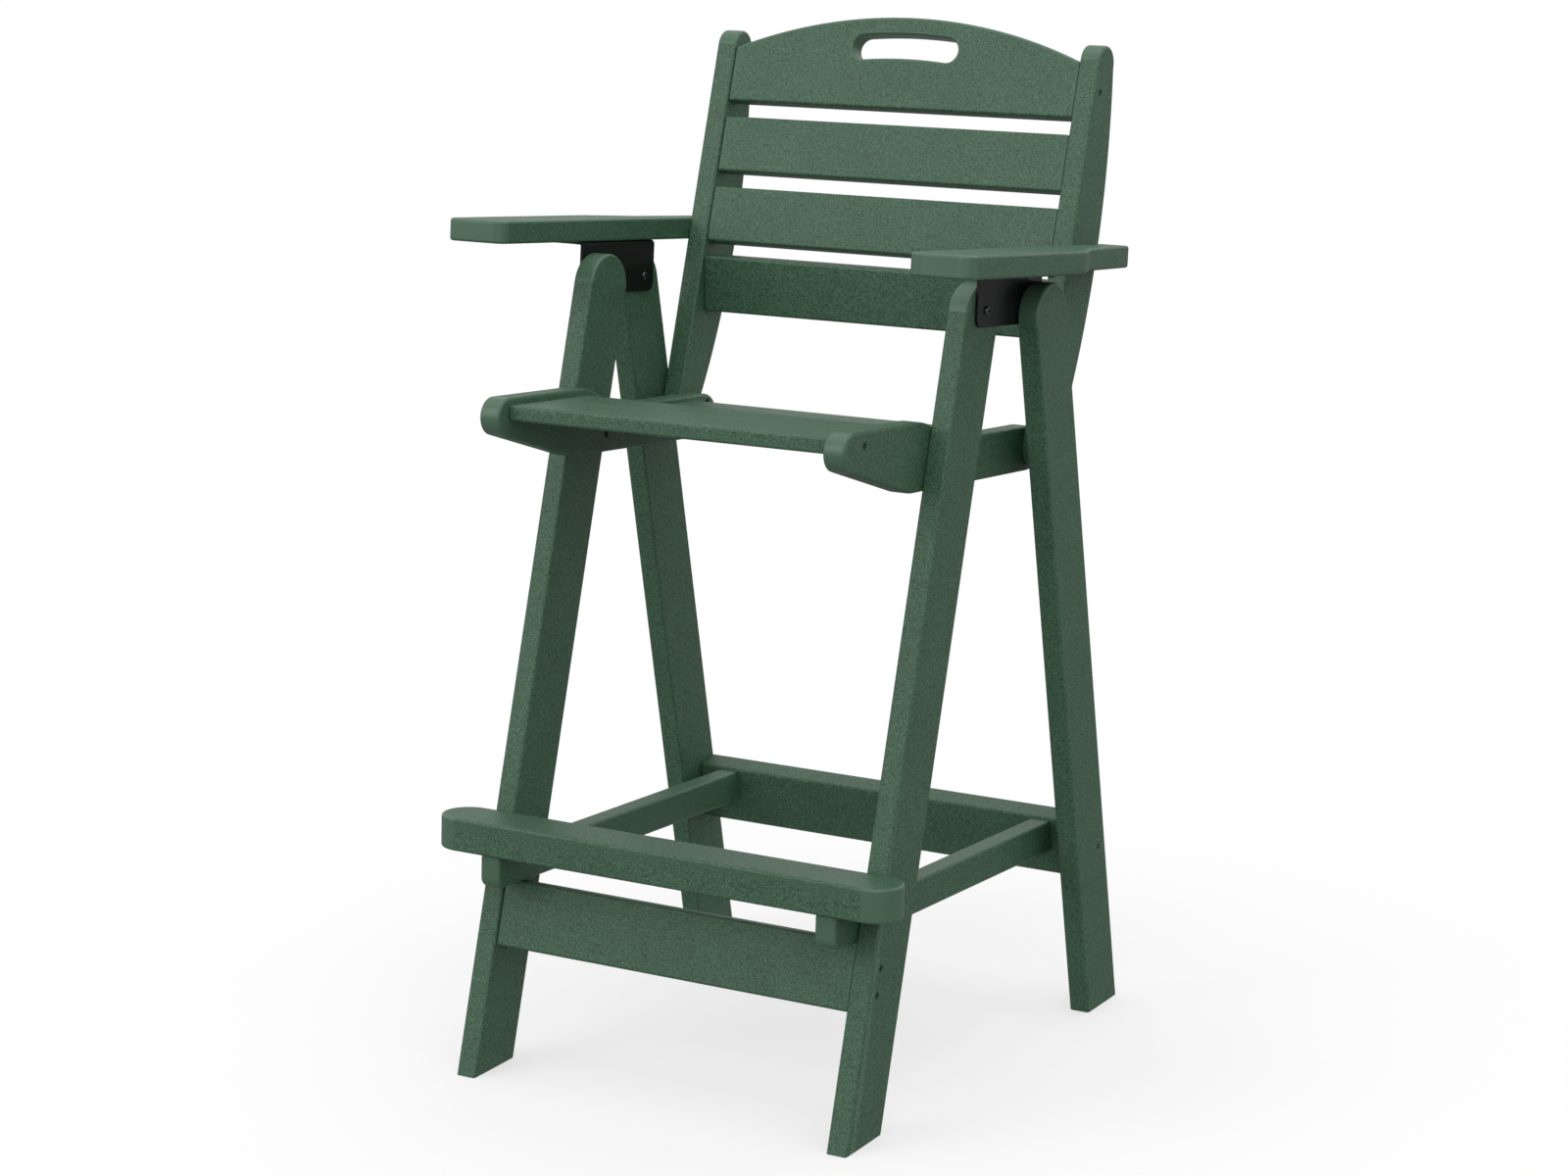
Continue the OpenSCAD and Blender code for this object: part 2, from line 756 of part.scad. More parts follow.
// Steel angle: an upright plate between the legs' planes and a flange under the arm
module arm_bracket(side) {
  front = front_top_a - bracket_margin;
  rear = rear_top_a + bracket_margin;
  color(BLACK)
    on_side(side)
      side_view()
        difference() {
          arm_frame() {
            translate([0, 0, x_plate])
              linear_extrude(bracket_t)
                polygon(rounded(
                  [[front, 0], [front, -bracket_h], [rear, -bracket_h], [rear, 0]],
                  [0, bracket_r, bracket_r, 0]
                ));
            translate([front, -bracket_t, x_plate])
              cube([rear - front, bracket_t, flange_w]);
          }
          front_bracket_screws_at() fastener_hole(PAN);
          rear_bracket_screws_at() fastener_hole(PAN);
          arm_screws_at() fastener_hole(PAN);
        }
}

// Draws its children on the right side and mirrored on the left side
module both_sides() {
  side_view() children();
  mirror([1, 0, 0]) side_view() children();
}

module front_apron() {
  color(GREEN)
    difference() {
      side_view()
        front_leg_frame()
          across(x_leg)
            translate([rail_inset, apron_top - apron_h]) square([rail_t, apron_h]);
      both_sides() apron_screws_at() fastener_hole(LONG);
    }
}

module rear_rail() {
  color(GREEN)
    difference() {
      side_view()
        rear_leg_frame()
          across(x_rear)
            translate([rail_inset, rear_rail_top - rear_rail_h]) square([rail_t, rear_rail_h]);
      both_sides() rear_rail_screws_at() fastener_hole(LONG);
      both_sides() stretcher_end_screws_at() fastener_hole(LONG);
    }
}

// Footrest that lies on the stretchers, with half-round ends
module footrest() {
  half = footrest_depth / 2;
  straight = footrest_len / 2 - half;
  color(GREEN)
    difference() {
      side_view()
        stretcher_frame()
          translate([footrest_front + half, 0, 0])
            laid(footrest_t) {
              square([footrest_depth, 2 * straight], center = true);
              for (way = [-1, 1])
                translate([0, way * straight]) circle(half, $fn = ROUND);
            }
      both_sides() footrest_screws_at() fastener_hole(LONG);
    }
}

// Hand slot, bent like the arch, with half-round ends
module slot_outline() {
  from = 90 - slot_turn;
  to = 90 + slot_turn;
  polygon(concat(
    arc([0, arch_mid], slot_r + half_slot, from, to),
    arc([0, arch_mid] + slot_r * [cos(to), sin(to)], half_slot, to, to + 180),
    arc([0, arch_mid], slot_r - half_slot, to, from),
    arc([0, arch_mid] + slot_r * [cos(from), sin(from)], half_slot, from - 180, from)
  ));
}

module back_slat_top() {
  color(GREEN)
    difference() {
      side_view()
        post_frame()
          translate([back_slat_inset, 0, 0])
            rotate([0, 90, 0])
              linear_extrude(back_slat_t)
                difference() {
                  intersection() {
                    translate([-x_leg, top_slat_s])
                      square([inner_w, top_slat_end_h + arch_rise]);
                    translate([0, arch_mid]) circle(arch_r, $fn = 360);
                  }
                  slot_outline();
                }
      both_sides() top_slat_screws_at() fastener_hole(LONG);
    }
}

// Plain back slat that stands on the given place along the posts
module plain_back_slat(s) {
  color(GREEN)
    difference() {
      side_view()
        post_frame()
          across(x_leg)
            translate([back_slat_inset, s]) square([back_slat_t, back_slat_h]);
      both_sides() back_dowels_at() dowel_hole();
    }
}

// Lower back slat: it hangs upright from the line of the slats above it
module lower_slat_frame() {
  post_frame()
    translate([back_slat_inset, lower_slat_s, 0])
      rotate([0, 0, back_tilt])
        children();
}

module back_slat_lower() {
  color(GREEN)
    difference() {
      side_view()
        lower_slat_frame()
          across(x_leg)
            translate([0, -back_slat_h]) square([back_slat_t, back_slat_h]);
      both_sides() back_dowels_at() dowel_hole();
    }
}

// Seat slat's top front corner: x along its top face, y square to it
module seat_slat_frame(slat) {
  seat_frame()
    translate([slat[0], slat[1], 0])
      rotate([0, 0, -slat[2]])
        children();
}

module seat_slat(number) {
  slat = SEAT_SLATS[number - 1];
  color(GREEN)
    difference() {
      side_view()
        seat_slat_frame(slat)
          across(x_rail)
            translate([0, -seat_slat_t]) square([seat_slat_w, seat_slat_t]);
      if (number == 1)
        both_sides() seat_screws_at() fastener_hole(LONG);
      else
        both_sides() seat_dowels_at() dowel_hole();
    }
}

module long_screws() {
  color(STEEL)
    both_sides() {
      apron_screws_at() fastener(LONG);
      rear_rail_screws_at() fastener(LONG);
      top_slat_screws_at() fastener(LONG);
      seat_screws_at() fastener(LONG);
      footrest_screws_at() fastener(LONG);
      stretcher_end_screws_at() fastener(LONG);
    }
}

module short_screws() {
  color(STEEL)
    both_sides() {
      stretcher_leg_screws_at() fastener(SHORT);
      rail_leg_screws_at() fastener(SHORT);
      rail_post_screws_at() fastener(SHORT);
      arm_post_screws_at() fastener(SHORT);
    }
}

module bracket_screws() {
  color(BLACK)
    both_sides() {
      front_bracket_screws_at() fastener(PAN);
      rear_bracket_screws_at() fastener(PAN);
    }
}

module arm_screws() {
  color(BLACK)
    both_sides() arm_screws_at() fastener(PAN);
}

module post_bolts() {
  color(STEEL)
    both_sides() post_bolts_at() fastener(BOLT);
}

// Washers that fill the bracket's thickness between the posts and the rear legs
module spacer_washers() {
  color(STEEL)
    both_sides()
      post_bolts_at()
        translate([0, 0, -2 * board_t - bracket_t])
          difference() {
            cylinder(d = washer_d, h = bracket_t, $fn = ROUND);
            translate([0, 0, -PAST])
              cylinder(d = BOLT[0] + 2 * hole_play, h = bracket_t + 2 * PAST, $fn = ROUND);
          }
}

module slat_dowels() {
  color(STEEL)
    both_sides() {
      back_dowels_at() dowel();
      seat_dowels_at() dowel();
    }
}

front_leg(-1);  // front_leg_left
front_leg(1);  // front_leg_right
rear_leg(-1);  // rear_leg_left
rear_leg(1);  // rear_leg_right
back_post(-1);  // back_post_left
back_post(1);  // back_post_right
side_rail(-1);  // side_rail_left
side_rail(1);  // side_rail_right
stretcher(-1);  // stretcher_left
stretcher(1);  // stretcher_right
arm(-1);  // arm_left
arm(1);  // arm_right
arm_bracket(-1);  // arm_bracket_left
arm_bracket(1);  // arm_bracket_right
front_apron();
rear_rail();
footrest();
back_slat_top();
plain_back_slat(upper_slat_s);  // back_slat_upper
plain_back_slat(middle_slat_s);  // back_slat_middle
back_slat_lower();
seat_slat(1);  // seat_slat_1
seat_slat(2);  // seat_slat_2
seat_slat(3);  // seat_slat_3
seat_slat(4);  // seat_slat_4
seat_slat(5);  // seat_slat_5
long_screws();
short_screws();
bracket_screws();
arm_screws();
post_bolts();
spacer_washers();
slat_dowels();
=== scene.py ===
"""Patio bar chair: boards of plastic lumber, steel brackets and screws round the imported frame."""

import math
from types import SimpleNamespace

import bpy
import numpy as np
from bpy.props import FloatProperty, FloatVectorProperty, PointerProperty
from mathutils.geometry import delaunay_2d_cdt
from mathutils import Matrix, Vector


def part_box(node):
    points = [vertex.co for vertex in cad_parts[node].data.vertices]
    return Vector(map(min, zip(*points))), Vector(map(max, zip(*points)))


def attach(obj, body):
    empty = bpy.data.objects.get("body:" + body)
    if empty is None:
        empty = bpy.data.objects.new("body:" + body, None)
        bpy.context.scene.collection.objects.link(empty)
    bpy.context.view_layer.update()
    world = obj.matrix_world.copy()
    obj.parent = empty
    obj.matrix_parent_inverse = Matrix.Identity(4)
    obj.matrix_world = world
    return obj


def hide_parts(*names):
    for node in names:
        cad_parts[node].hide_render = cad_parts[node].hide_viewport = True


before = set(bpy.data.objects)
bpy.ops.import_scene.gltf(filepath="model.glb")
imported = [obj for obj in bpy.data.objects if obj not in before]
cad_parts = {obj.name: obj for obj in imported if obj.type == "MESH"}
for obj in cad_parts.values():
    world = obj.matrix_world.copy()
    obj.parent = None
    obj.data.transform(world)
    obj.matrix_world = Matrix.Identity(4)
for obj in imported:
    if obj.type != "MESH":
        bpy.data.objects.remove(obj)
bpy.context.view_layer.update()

bl_info = {
    "name": "Patio bar chair",
    "version": (1, 0, 0),
    "blender": (4, 5, 0),
    "location": "3D View > Sidebar > Bar chair",
    "description": "Makes the boards, brackets and screws of a tall patio chair, and its stage",
    "category": "Add Mesh",
}

MM = 0.001
# Steps of an edge's quarter round, an outline's half circle, a rounded corner, the brackets' bend
# and a turn of a screw
EDGE_STEPS, ARC_STEPS, CORNER_STEPS, BEND_STEPS, SCREW_STEPS = 5, 32, 8, 8, 48
# Steps of the side rails' knee and dip, the stretchers' tips, the top slat's arch, its slot's
# sides and ends, the arms' bow, the brackets' corners and a screw head's edge
KNEE_STEPS, DIP_STEPS, TIP_STEPS, ARCH_STEPS, SLOT_STEPS = 12, 40, 4, 96, 24
SLOT_END_STEPS, BOW_STEPS, PLATE_STEPS, HEAD_STEPS = 20, 16, 12, 6
# Edges of level feet and butt ends, which a saw leaves almost sharp
SAW_EDGE = 0.8 * MM
# Eased corners: the plain boards' ends, and the stretchers' tips and the arms' tails
END_EASE, TIP_EASE = 3.4 * MM, 4 * MM
# Clearance between boards that only touch
PLAY = 0.3 * MM
# Inner radius of the brackets' bend, and the rounding of their edges
PLATE_BEND, PLATE_EDGE = 1.8 * MM, 0.6 * MM
# Angles past which an edge stays sharp on boards, screws and brackets
BOARD_SHARP, SCREW_SHARP, PLATE_SHARP = (math.radians(a) for a in (35, 50, 50))

# Screws: shank diameter and length, head diameter and height in mm, and whether the head is domed
LONG, SHORT = (5, 55, 7.6, 3.2, False), (5, 40, 7.6, 3.2, False)
PAN, BOLT = (5, 22, 9.5, 3, True), (6, 68, 9.6, 3.2, False)
# Their seats in the boards: depth, radius for a screw and for a bolt, and the slope at the mouth
SINK, SCREW_SEAT, BOLT_SEAT, MOUTH = 6 * MM, 4.2 * MM, 5.2 * MM, 0.5 * MM
# The driver's star in a head: radius as a share of the head's, points and their depth, and the
# heights of its floor's rim and middle as shares of the head's
DRIVE, POINTS, STAR, RIM, PIT = 0.42, 6, 0.16, 0.35, 0.25
# Rounding of a flat head as a share of its diameter, and a shank's tip: radius as a share of the
# shank's diameter, and height
HEAD_EDGE, TIP_SHARE, TIP_UP = 0.12, 0.18, 0.5 * MM
# Screw places: the apron's below its top, the rails' above their underside, the posts' ahead of
# the arms' rear ends and above the posts' lower centres, and the front slat's behind its edge
APRON_DROPS, RAIL_UPS = (25.7 * MM, 55.4 * MM), (20.8 * MM, 36 * MM)
POST_IN_ARM, POST_UP, SLAT_BACK = (-42 * MM, -18 * MM), 14 * MM, 27 * MM
# Half the distance of two screws in a stretcher and in a flange, and how far out the latter are
HALF_PAIR, ARM_HALF, ARM_OUT = 14 * MM, 28.6 * MM, 38 * MM

# The chair's sides with the sign of x there, and the two screws of a pair
SIDES = (("right", 1), ("left", -1))
PAIR = (-1, 1)


def length(value, name, text):
    """A size in millimetres as a property that Blender shows as a length."""
    return FloatProperty(
        name=name, description=text, default=value * MM, precision=5, unit="LENGTH"
    )


def angle(value, name, text):
    """An angle in degrees as a property that Blender shows as an angle."""
    return FloatProperty(name=name, description=text, default=math.radians(value), unit="ROTATION")


def amount(value, name, text, unit="NONE"):
    """A number as a property, plain or in one of Blender's own units."""
    return FloatProperty(name=name, description=text, default=value, unit=unit)


def linear(code):
    """Linear RGBA of an sRGB hex colour."""
    parts = np.array([int(code[i : i + 2], 16) for i in (1, 3, 5)]) / 255.0
    low, high = parts / 12.92, ((parts + 0.055) / 1.055) ** 2.4
    return tuple(np.where(parts <= 0.04045, low, high)) + (1.0,)


def colour(code, name, text):
    """An sRGB hex colour as a property that holds linear values."""
    return FloatVectorProperty(
        name=name, description=text, default=linear(code), size=4, subtype="COLOR", min=0.0, max=1.0
    )


class LumberSettings(bpy.types.PropertyGroup):
    """Sizes and colours of the boards."""

    inner_w: length(457.2, "Inner width", "Clear width between the front legs")
    board_t: length(25.4, "Board thickness", "Legs, posts, side rails and stretchers")
    edge_r: length(3.2, "Edge radius", "Rounding along the boards")
    leg_w: length(76.2, "Leg width", "All four legs")
    foot_spread: length(626.8, "Foot spread", "From the front feet's front to the rear feet's rear")
    front_lean: angle(16.8, "Front lean", "Front legs, toward the rear")
    rear_lean: angle(11.3, "Rear lean", "Rear legs, toward the front")
    leg_top_gap: length(13.0, "Leg top gap", "Between the leg tops and the arms")
    green: colour("#43654d", "Lumber", "Moulded faces of the boards")
    cut_green: colour("#4f6f58", "Cut lumber", "Machined ends of the boards, smoother and paler")


class BaseSettings(bpy.types.PropertyGroup):
    """Sizes of the stretchers, footrest, apron and rear rail."""

    front_h: length(260.8, "Stretcher height", "Top at the front end")
    height: length(38.1, "Stretcher board", "Height of the board")
    tilt: angle(3.1, "Stretcher fall", "Toward the rear")
    reach: length(58.2, "Stretcher reach", "Ahead of the front legs")
    nose_r: length(12.0, "Stretcher nose", "Radius of the lower front corner")
    rest_past: length(64.7, "Footrest overhang", "Past the stretchers")
    rest_depth: length(63.5, "Footrest depth", "Front to rear")
    rest_t: length(38.1, "Footrest thickness", "Height of the board")
    apron_h: length(77.0, "Apron height", "Height of the board")
    rail_t: length(31.75, "Rail thickness", "Apron and rear rail")
    rail_inset: length(3.0, "Rail inset", "Inside the legs' edges")
    rear_h: length(73.2, "Rear rail height", "Height of the board")
    rear_top: length(247.0, "Rear rail top", "Along the rear leg")


class SeatSettings(bpy.types.PropertyGroup):
    """Sizes of the side rails and the seat slats."""

    nose_h: length(758.1, "Nose height", "Of the side rails' noses")
    nose_reach: length(194.8, "Nose reach", "Ahead of the front legs")
    tilt: angle(4.4, "Seat fall", "Toward the rear")
    rail_len: length(441.6, "Rail length", "Nose to the centre of the round rear end")
    rail_h: length(51.2, "Rail height", "At the rear part")
    nose_r: length(21.5, "Nose radius", "Of a side rail's nose")
    crest_h: length(21.6, "Crest", "Front crest above the nose")
    dip_h: length(25.5, "Dip", "Fall from the crest to the rear part")
    dip_start: length(165.0, "Dip start", "Start of the fall, behind the nose")
    dip_len: length(92.0, "Dip length", "Length of the fall")
    nose_slope: angle(14.0, "Nose slope", "Of the nose's underside")
    knee_r: length(60.0, "Knee radius", "Eases the underside")
    slat_t: length(17.5, "Slat thickness", "Seat slats")
    slat_drop: length(7.6, "Front drop", "Front slats below the rails' crest")
    rear_drop: length(5.6, "Rear drop", "Rear slats below the rails' rear part")
    slat_w: length(76.2, "Slat width", "Seat slats")
    front_back: length(19.9, "Front slat", "Behind the noses")
    gap: length(3.0, "Gap", "Between two seat slats")
    bend_gap: length(4.0, "Bend gap", "Extra gap ahead of the falling slat")
    bend_lift: angle(1.0, "Bend lift", "How much flatter the falling slat lies")


class BackSettings(bpy.types.PropertyGroup):
    """Sizes of the posts and the back slats."""

    tilt: angle(17.73, "Recline", "Posts from upright")
    post_len: length(447.0, "Post length", "Between the centres of the round ends")
    end_w: length(41.2, "Post end", "Width at the round ends")
    mid_w: length(71.7, "Post middle", "Width at the middle")
    post_back: length(1.1, "Post back", "Lower centre behind the rail's end centre")
    post_lift: length(1.8, "Post lift", "Lower centre above the rail's end centre")
    slat_t: length(25.4, "Slat thickness", "Back slats")
    inset: length(2.0, "Slat inset", "Behind the posts' front edges")
    slat_h: length(66.8, "Slat height", "Three plain slats")
    gap: length(19.2, "Gap", "Between two back slats")
    top_s: length(378.5, "Top slat", "Underside, along the post")
    top_end_h: length(65.7, "Top slat ends", "Height at the posts")
    arch: length(43.8, "Arch", "Rise of the top slat")
    slot_len: length(139.0, "Slot length", "Hand slot")
    slot_h: length(28.8, "Slot height", "Hand slot")
    slot_drop: length(34.85, "Slot drop", "Its centre line below the arch")


class ArmSettings(bpy.types.PropertyGroup):
    """Sizes of the arms and their brackets, and the colours of the metal."""

    rear_h: length(916.6, "Arm height", "Top face at the rear end")
    tilt: angle(5.47, "Arm fall", "Toward the rear")
    arm_len: length(480.0, "Arm length", "Front to rear")
    arm_t: length(25.4, "Arm thickness", "Arms")
    arm_w: length(76.2, "Paddle width", "Front part of an arm")
    past: length(5.0, "Tail", "Past the post")
    taper_len: length(200.0, "Taper and tail", "From the paddle to the rear end")
    tail_len: length(131.0, "Tail length", "Behind the taper")
    tail_w: length(49.5, "Tail width", "Width where the taper ends")
    end_w: length(37.0, "End width", "Width of the tail's end")
    ease_r: length(45.0, "Taper ease", "Radius at both ends of the taper")
    corner_r: length(14.0, "Corners", "Radius at the front of the paddle")
    bow_r: length(300.0, "Bow", "Radius of the bowed front edge")
    plate_t: length(3.2, "Plate thickness", "Steel of the brackets")
    plate_h: length(60.3, "Plate height", "Upright part of a bracket")
    margin: length(21.0, "Plate margin", "Past the leg tops' centres")
    plate_r: length(10.0, "Plate corners", "Radius of the lower ones")
    flange_w: length(50.8, "Flange", "Width under the arm")
    screw_drop: length(42.0, "Screw drop", "Bracket screws below the arm")
    steel: colour("#0b0c0d", "Bracket", "Black powder coat on the brackets")
    screw: colour("#63666a", "Screws", "Dark plated steel of the screws and bolts")


class StageSettings(bpy.types.PropertyGroup):
    """Camera, lamps and floor."""

    eye: FloatVectorProperty(
        name="Camera", description="Where the camera stands", default=(2.0009, -3.4893, 1.4547),
        subtype="TRANSLATION", unit="LENGTH", precision=4,
    )
    pitch: angle(77.136, "Camera pitch", "Turn of the camera up from straight down")
    heading: angle(29.873, "Camera heading", "Turn of the camera round the vertical")
    lens: amount(82.60, "Lens", "Focal length, for a sensor 36 mm wide", "CAMERA")
    floor: colour("#ffffff", "Floor", "Plain pale floor")
    key: amount(50.0, "Key", "Soft lamp at the front left", "POWER")
    fill: amount(30.0, "Fill", "Soft lamp on the camera's side", "POWER")
    top: amount(60.0, "Top", "Big soft lamp overhead", "POWER")
    rear: amount(20.0, "Rear", "Soft lamp high behind", "POWER")
    sky: amount(0.75, "Sky", "Strength of the even light from all round")
    bounce: amount(0.27, "Bounce", "Light that the floor throws on the chair")


GROUPS = {
    "chair_lumber": LumberSettings,
    "chair_base": BaseSettings,
    "chair_seat": SeatSettings,
    "chair_back": BackSettings,
    "chair_arm": ArmSettings,
    "chair_stage": StageSettings,
}


# Places: every frame is four rows, an origin and the directions u, v and out, in metres.


def turned(rear, up, lean, flip=1.0):
    """Frame in the side view: origin at (rear, up), u along the level turned down by lean, v square
    to it and up, out to the chair's right. A flip of -1 mirrors u, for a board seen from behind."""
    c, s = math.cos(lean), math.sin(lean)
    return np.array([[0, rear, up], [0, flip * c, -s], [0, flip * s, c], [1, 0, 0]], float)


def moved(place, u=0.0, v=0.0, out=0.0):
    """The same directions with the origin moved along u, v and out."""
    result = place.copy()
    result[0] += u * place[1] + v * place[2] + out * place[3]
    return result


def rear_up(place, u, v):
    """Side view point (rear, up) of (u, v) in a frame."""
    return moved(place, u, v)[0, 1:]


def in_frame(place, point):
    """(u, v) in a frame of the side view point (rear, up)."""
    return place[1:3, 1:] @ (point - place[0, 1:])


def chair_layout():
    """Frames, screw places and derived lengths that several pieces share, from the settings. Each
    leg, rail, post and arm has its own frame, and rear values count from the chair's middle."""
    scene = bpy.context.scene
    lum, base, seat = scene.chair_lumber, scene.chair_base, scene.chair_seat
    back, arm = scene.chair_back, scene.chair_arm
    k = SimpleNamespace(lum=lum, base=base, seat=seat, back=back, arm=arm)
    # Out from the middle: the faces of the side rails, front legs, plates and rear legs, and the
    # middle of a side rail or stretcher
    k.x_leg = lum.inner_w / 2
    k.x_rail = k.x_leg - lum.board_t
    k.x_plate = k.x_leg + lum.board_t
    k.x_rear = k.x_plate + arm.plate_t
    k.x_outer = k.x_rear + lum.board_t
    k.x_mid = k.x_rail + lum.board_t / 2
    k.half_leg = lum.leg_w / 2
    rail_mid = base.rail_inset + base.rail_t / 2

    # The front feet's front edge lies half the foot spread ahead of the middle, or further where
    # the back's upper rear edge reaches past the rear feet
    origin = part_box("front_leg_right")[0].y
    k.front = turned(origin, 0, lum.front_lean)
    k.rear = turned(origin + lum.foot_spread, 0, lum.rear_lean, -1.0)
    sin, cos = math.sin(lum.front_lean), math.cos(lum.front_lean)
    slope, fall = math.tan(lum.front_lean), math.tan(base.tilt)
    k.stretcher = turned(origin + slope * base.front_h - base.reach, base.front_h, base.tilt)
    low = rear_up(k.stretcher, 0, -base.height)
    # The apron's top along the front leg, just under the stretchers
    k.apron_top = (
        low[1] + fall * (low[0] - origin) - PLAY + base.rail_inset * (sin - fall * cos)
    ) / (cos + fall * sin)
    k.apron_screws = [(rail_mid, k.apron_top - drop) for drop in APRON_DROPS]
    k.rear_screw = rail_mid, base.rear_top - base.rear_h / 2
    # Along a stretcher: the footrest's rear edge, and the screws into the front leg
    mid = -base.height / 2
    square = math.cos(lum.front_lean - base.tilt)
    k.rest_rear = base.reach * cos / square - PLAY
    at_leg = (k.half_leg - in_frame(k.front, rear_up(k.stretcher, 0, mid))[0]) / square
    k.leg_screws = [(at_leg + way * HALF_PAIR, mid) for way in PAIR]

    def run_at(up):
        """Length of a stretcher's line at a given height, up to the rear rail's face."""
        gap = in_frame(k.rear, rear_up(k.stretcher, 0, up))[0] - (base.rail_inset + base.rail_t)
        return gap / math.cos(base.tilt + lum.rear_lean)

    k.low_end, k.high_end = (run_at(-base.height), -base.height), (run_at(0), 0)
    # Height along the rear leg of the screw into the stretcher's rear end
    k.end_up = in_frame(k.rear, rear_up(k.stretcher, run_at(mid), mid))[1]

    k.seat_frame = turned(origin + slope * seat.nose_h - seat.nose_reach, seat.nose_h, seat.tilt)
    k.rear_top = seat.crest_h - seat.dip_h
    k.rail_low = k.rear_top - seat.rail_h
    k.slat_screw = seat.front_back + SLAT_BACK, seat.crest_h - seat.slat_drop - seat.slat_t / 2
    # The rails' screws, up along the front leg's centre line
    lean = lum.front_lean - seat.tilt
    under = k.rail_low - in_frame(k.seat_frame, (origin, 0))[1] + k.half_leg * math.sin(lean)
    k.rail_screws = [(k.half_leg, (under + up) / math.cos(lean)) for up in RAIL_UPS]

    rail_end = rear_up(k.seat_frame, seat.rail_len, k.rear_top - seat.rail_h / 2)
    post_low = rail_end + [back.post_back, back.post_lift]
    k.bolt = (rail_end + post_low) / 2
    k.half_end = back.end_w / 2
    # The post's origin is abreast of its lower centre, on its front edge
    to_edge = k.half_end * np.array([-math.cos(back.tilt), math.sin(back.tilt)])
    k.post = turned(*(post_low + to_edge), back.tilt)
    k.post_screw = k.half_end, POST_UP
    k.top_screw = back.inset + back.slat_t / 2, back.top_s + back.top_end_h / 2

    arm_low = arm.rear_h - arm.arm_t * math.cos(arm.tilt)
    arm_rear = (
        k.post[0][1]
        + (arm.rear_h - arm.arm_t / 2 - k.post[0][2]) * math.tan(back.tilt)
        + back.mid_w / math.cos(back.tilt)
        + arm.past
    )
    k.arm_frame = turned(arm_rear, arm_low, arm.tilt)
    k.arm_post_screws = [(at, arm.arm_t / 2) for at in POST_IN_ARM]

    def leg_length(place, way, lean):
        """Length up to the centre of a leg's round top, a gap below the sloping arm."""
        tilt, c, s = math.tan(arm.tilt), math.cos(lean), math.sin(lean)
        rise = arm_low + tilt * (arm_rear - place[0][1]) - k.half_leg - lum.leg_top_gap
        return (rise + k.half_leg * (s - way * tilt * c)) / (c + way * tilt * s)

    k.front_len = leg_length(k.front, 1, lum.front_lean)
    k.rear_len = leg_length(k.rear, -1, lum.rear_lean)
    # The leg tops' centres along the arm
    k.front_a, k.rear_a = (
        in_frame(k.arm_frame, rear_up(place, k.half_leg, up))[0]
        for place, up in ((k.front, k.front_len), (k.rear, k.rear_len))
    )
    return k


# Outlines: a board's outline is a list of runs (points, edge radius, machined), anticlockwise in
# its own two axes, and each run's points leave out its last one, where the next run starts.


def line(a, b, count=1):
    """As many points as count along the straight from a to b, b left out."""
    t = np.arange(count)[:, None] / count
    return np.array(a, float) * (1 - t) + np.array(b, float) * t


def arc(centre, radius, start, end, count=ARC_STEPS):
    """Points on the circle round centre, its angle going evenly from start to end, end left out."""
    t = start + (end - start) * np.arange(count) / count
    return np.array(centre, float) + radius * np.stack([np.cos(t), np.sin(t)], 1)


def corner(a, b, c, radius, count=CORNER_STEPS):
    """Points of the arc that is tangent to a-b and b-c, its end included, which rounds corner b."""
    a, b, c = (np.array(p, float) for p in (a, b, c))
    u, v = (a - b) / np.linalg.norm(a - b), (c - b) / np.linalg.norm(c - b)
    half = math.acos(float(np.clip(u @ v, -1, 1))) / 2
    mid = b + (u + v) / np.linalg.norm(u + v) * radius / math.sin(half)
    x, y = b + u * radius / math.tan(half) - mid
    sweep = (math.pi - 2 * half) * math.copysign(1.0, y * u[0] - x * u[1])
    t = sweep * np.linspace(0, 1, count + 1)
    return mid + np.stack([np.cos(t) * x - np.sin(t) * y, np.sin(t) * x + np.cos(t) * y], 1)


def rounded(points, radii, edge, cut):
    """Runs of a polygon with each corner rounded. cut holds the numbers of the machined corners,
    and of the machined sides, which are half a number after their corner."""
    runs = []
    for i, b in enumerate(points):
        a, c = points[i - 1], points[(i + 1) % len(points)]
        bend = corner(a, b, c, radii[i])
        runs += [(bend[:-1], edge, i in cut), (bend[-1:], edge, (i + 0.5) in cut)]
    return runs


def across(half, height, edge):
    """Outline of a plain board across the chair: x out to the right, its long edges along x, and
    the corners of its sawn ends eased."""
    points = [(-half, 0), (half, 0), (half, height), (-half, height)]
    return rounded(points, [END_EASE] * 4, edge, (0, 1, 1.5, 2, 3, 3.5))


def joined(runs):
    """Outline points, and the radius and the machined mark of the edge that leaves each point."""
    points, *values = zip(*runs)
    return np.vstack(points), *(np.repeat(v, [len(p) for p in points]) for v in values)


def edge_shift(points, radii):
    """For each outline point, the move that brings both its edges inward by their own radii."""
    step = np.roll(points, -1, axis=0) - points
    step /= np.linalg.norm(step, axis=1)[:, None]
    after = np.stack([-step[:, 1], step[:, 0]], 1)
    before = np.roll(after, 1, axis=0)
    r_after, r_before = radii[:, None], np.roll(radii, 1)[:, None]
    dot = (after * before).sum(1)[:, None]
    even = (r_after + r_before) / 2 * (before + after) / (1 + dot)
    uneven = (r_before - r_after) / 2 * (before - after) / np.maximum(1 - dot, 1e-9)
    return even + np.where(1 - dot > 1e-3, uneven, 0)


